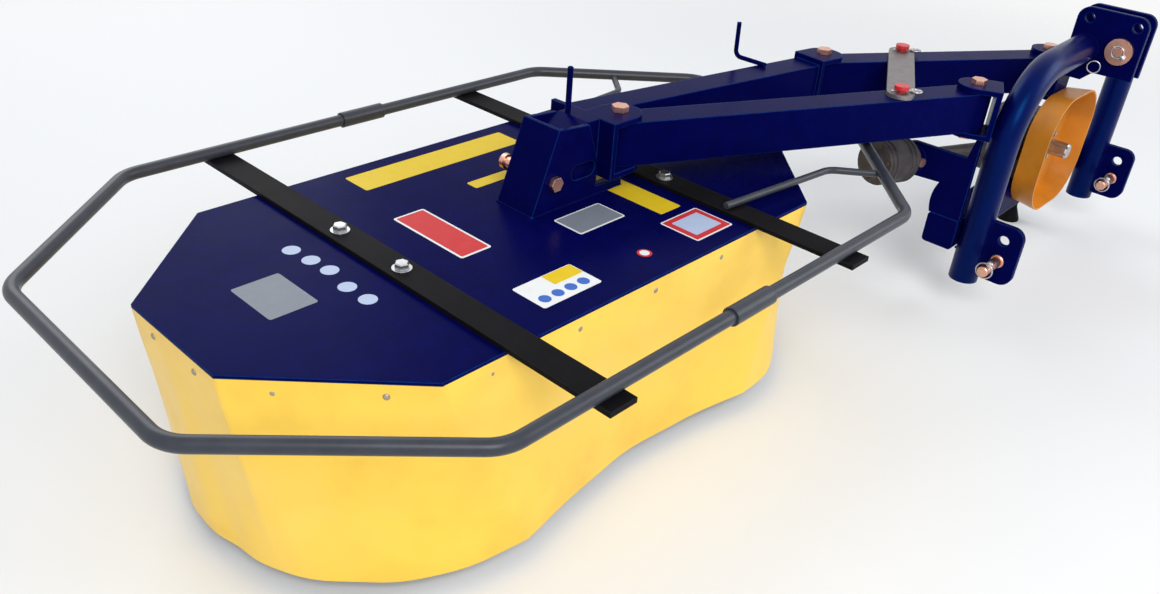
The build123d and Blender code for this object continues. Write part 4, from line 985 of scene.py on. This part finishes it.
def build_leg_pin(bm):
    """Spring pin through the sleeve, with its pull ring."""
    turned(bm, leg_pin_at + Vector((0, LEG_PIN_OUT, 0)), (0, 1, 0), LEG_PIN_PROFILE, 24)
    wire_ring(bm, leg_pin_at + Vector((0, LEG_RING_OUT, 0)), (1, 0, 0), 0.010, 0.0016)


piece("leg_pin", build_leg_pin, "headstock", "bare_steel")

# Bolt heads under the knives
KNIVES = 3
KNIFE_PHASES = (-30, 30)
KNIFE_BOLT_R = 0.192
KNIFE_BOLT_HEAD = [(0.011, 0), (0.011, 0.003), (0.008, 0.005)]
disc_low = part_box("knives_left")[0].z


def build_knife_bolts(bm, drum_x, drum_y, phase):
    """One head under each knife of a drum."""
    for k in range(KNIVES):
        turn = radians(phase + 360 / KNIVES * k)
        at = (drum_x + KNIFE_BOLT_R * cos(turn), drum_y + KNIFE_BOLT_R * sin(turn), disc_low)
        turned(bm, at, (0, 0, -1), KNIFE_BOLT_HEAD, 20)


for name, (drum_x, drum_y), phase in zip(("left", "right"), drum_centers, KNIFE_PHASES):
    piece(f"knife_bolts_{name}", lambda bm: build_knife_bolts(bm, drum_x, drum_y, phase),
          f"drum_{name}", "bare_steel")

# Camera, at the photograph's viewing angle
PHOTO_WIDTH_PX = 1160
FOCAL_LENGTH_PX = 984
SENSOR_WIDTH_MM = 36.0
CAMERA_AT = Vector((-2.288, -0.616, 0.778))
CAMERA_RIGHT = Vector((0.689, -0.7208, 0.0681)).normalized()
CAMERA_FORWARD = Vector((0.644, 0.568, -0.512)).normalized()
camera_up = CAMERA_RIGHT.cross(CAMERA_FORWARD)
camera_data = bpy.data.cameras.new("camera")
camera_data.sensor_fit = "HORIZONTAL"
camera_data.sensor_width = SENSOR_WIDTH_MM
camera_data.lens = SENSOR_WIDTH_MM * FOCAL_LENGTH_PX / PHOTO_WIDTH_PX
camera_data.clip_start = 0.02
camera_data.clip_end = 60.0
camera = add_object("camera", camera_data)
camera.matrix_world = Matrix((
    (CAMERA_RIGHT.x, camera_up.x, -CAMERA_FORWARD.x, CAMERA_AT.x),
    (CAMERA_RIGHT.y, camera_up.y, -CAMERA_FORWARD.y, CAMERA_AT.y),
    (CAMERA_RIGHT.z, camera_up.z, -CAMERA_FORWARD.z, CAMERA_AT.z),
    (0, 0, 0, 1),
))
bpy.context.scene.camera = camera

# Lamps
LAMPS = (
    # name, place, aim, size, power
    ("key", (-3.2, -2.6, 2.9), (-1.0, 0.3, 0), 2.2, 125),
    ("fill", (2.2, -2.8, 2.2), (-0.6, 0.2, 0), 2.6, 62),
    ("back", (-0.6, 3.6, 2.6), (-0.9, 0.3, 0), 2.6, 50),
)


def area_light(name, at, target, size, power):
    """Soft box aimed at a point."""
    light = bpy.data.lights.new(name, "AREA")
    light.shape = "SQUARE"
    light.size = size
    light.energy = power
    obj = add_object(name, light)
    obj.location = at
    obj.rotation_euler = (Vector(target) - Vector(at)).to_track_quat("-Z", "Y").to_euler()


for lamp in LAMPS:
    area_light(*lamp)

# World: a soft ambient light, and a paler backdrop for the camera, for gloss and through glass
AMBIENT = (0.93, 0.96, 1.0)
AMBIENT_STRENGTH = 0.55
BACKDROP_STRENGTH = 0.95


def background(tree, color, strength):
    """Even light of one colour."""
    node = tree.nodes.new("ShaderNodeBackground")
    node.inputs["Color"].default_value = (*color, 1)
    node.inputs["Strength"].default_value = strength
    return node.outputs["Background"]


def mix_shaders(tree, factor, first, second, output):
    """Mix two shaders into an output's surface."""
    mix = tree.nodes.new("ShaderNodeMixShader")
    tree.links.new(factor, mix.inputs["Fac"])
    tree.links.new(first, mix.inputs[1])
    tree.links.new(second, mix.inputs[2])
    tree.links.new(mix.outputs["Shader"], output.inputs["Surface"])


world = bpy.data.worlds.new("studio")
bpy.context.scene.world = world
world.use_nodes = True
tree = world.node_tree
tree.nodes.clear()
path = tree.nodes.new("ShaderNodeLightPath")
seen = math_node(tree, "MAXIMUM", path.outputs["Is Camera Ray"], path.outputs["Is Glossy Ray"])
seen = math_node(tree, "MAXIMUM", seen, path.outputs["Is Transmission Ray"])
ambient = background(tree, AMBIENT, AMBIENT_STRENGTH)
backdrop = background(tree, WHITE, BACKDROP_STRENGTH)
mix_shaders(tree, seen, ambient, backdrop, tree.nodes.new("ShaderNodeOutputWorld"))

# Floor, which fades into the backdrop far from the mower
FLOOR_HALF = 14.0
FLOOR_PALE = (0.86, 0.87, 0.88)
FADE_MIDDLE = (-0.9, 0.3, FLOOR_Z)
FADE_STARTS = 1.8
FADE_ENDS = 4.2
floor_mesh = bpy.data.meshes.new("floor")
floor_mesh.from_pydata(
    [(sx * FLOOR_HALF, sy * FLOOR_HALF, FLOOR_Z) for sx, sy in ((-1, -1), (1, -1), (1, 1), (-1, 1))],
    [], [(0, 1, 2, 3)])
floor = add_object("floor", floor_mesh)
floor_material, tree, floor_shader = new_material("floor_pale", FLOOR_PALE, 0.9)
away = distance_to(tree, object_space(tree), FADE_MIDDLE)
fade = map_range(tree, away, FADE_STARTS, FADE_ENDS, interpolation="SMOOTHSTEP")
clear = tree.nodes.new("ShaderNodeBsdfTransparent")
mix_shaders(tree, fade, floor_shader.outputs["BSDF"], clear.outputs["BSDF"], tree.nodes["Material Output"])
floor_mesh.materials.append(floor_material)

bpy.context.scene.view_settings.view_transform = "Standard"
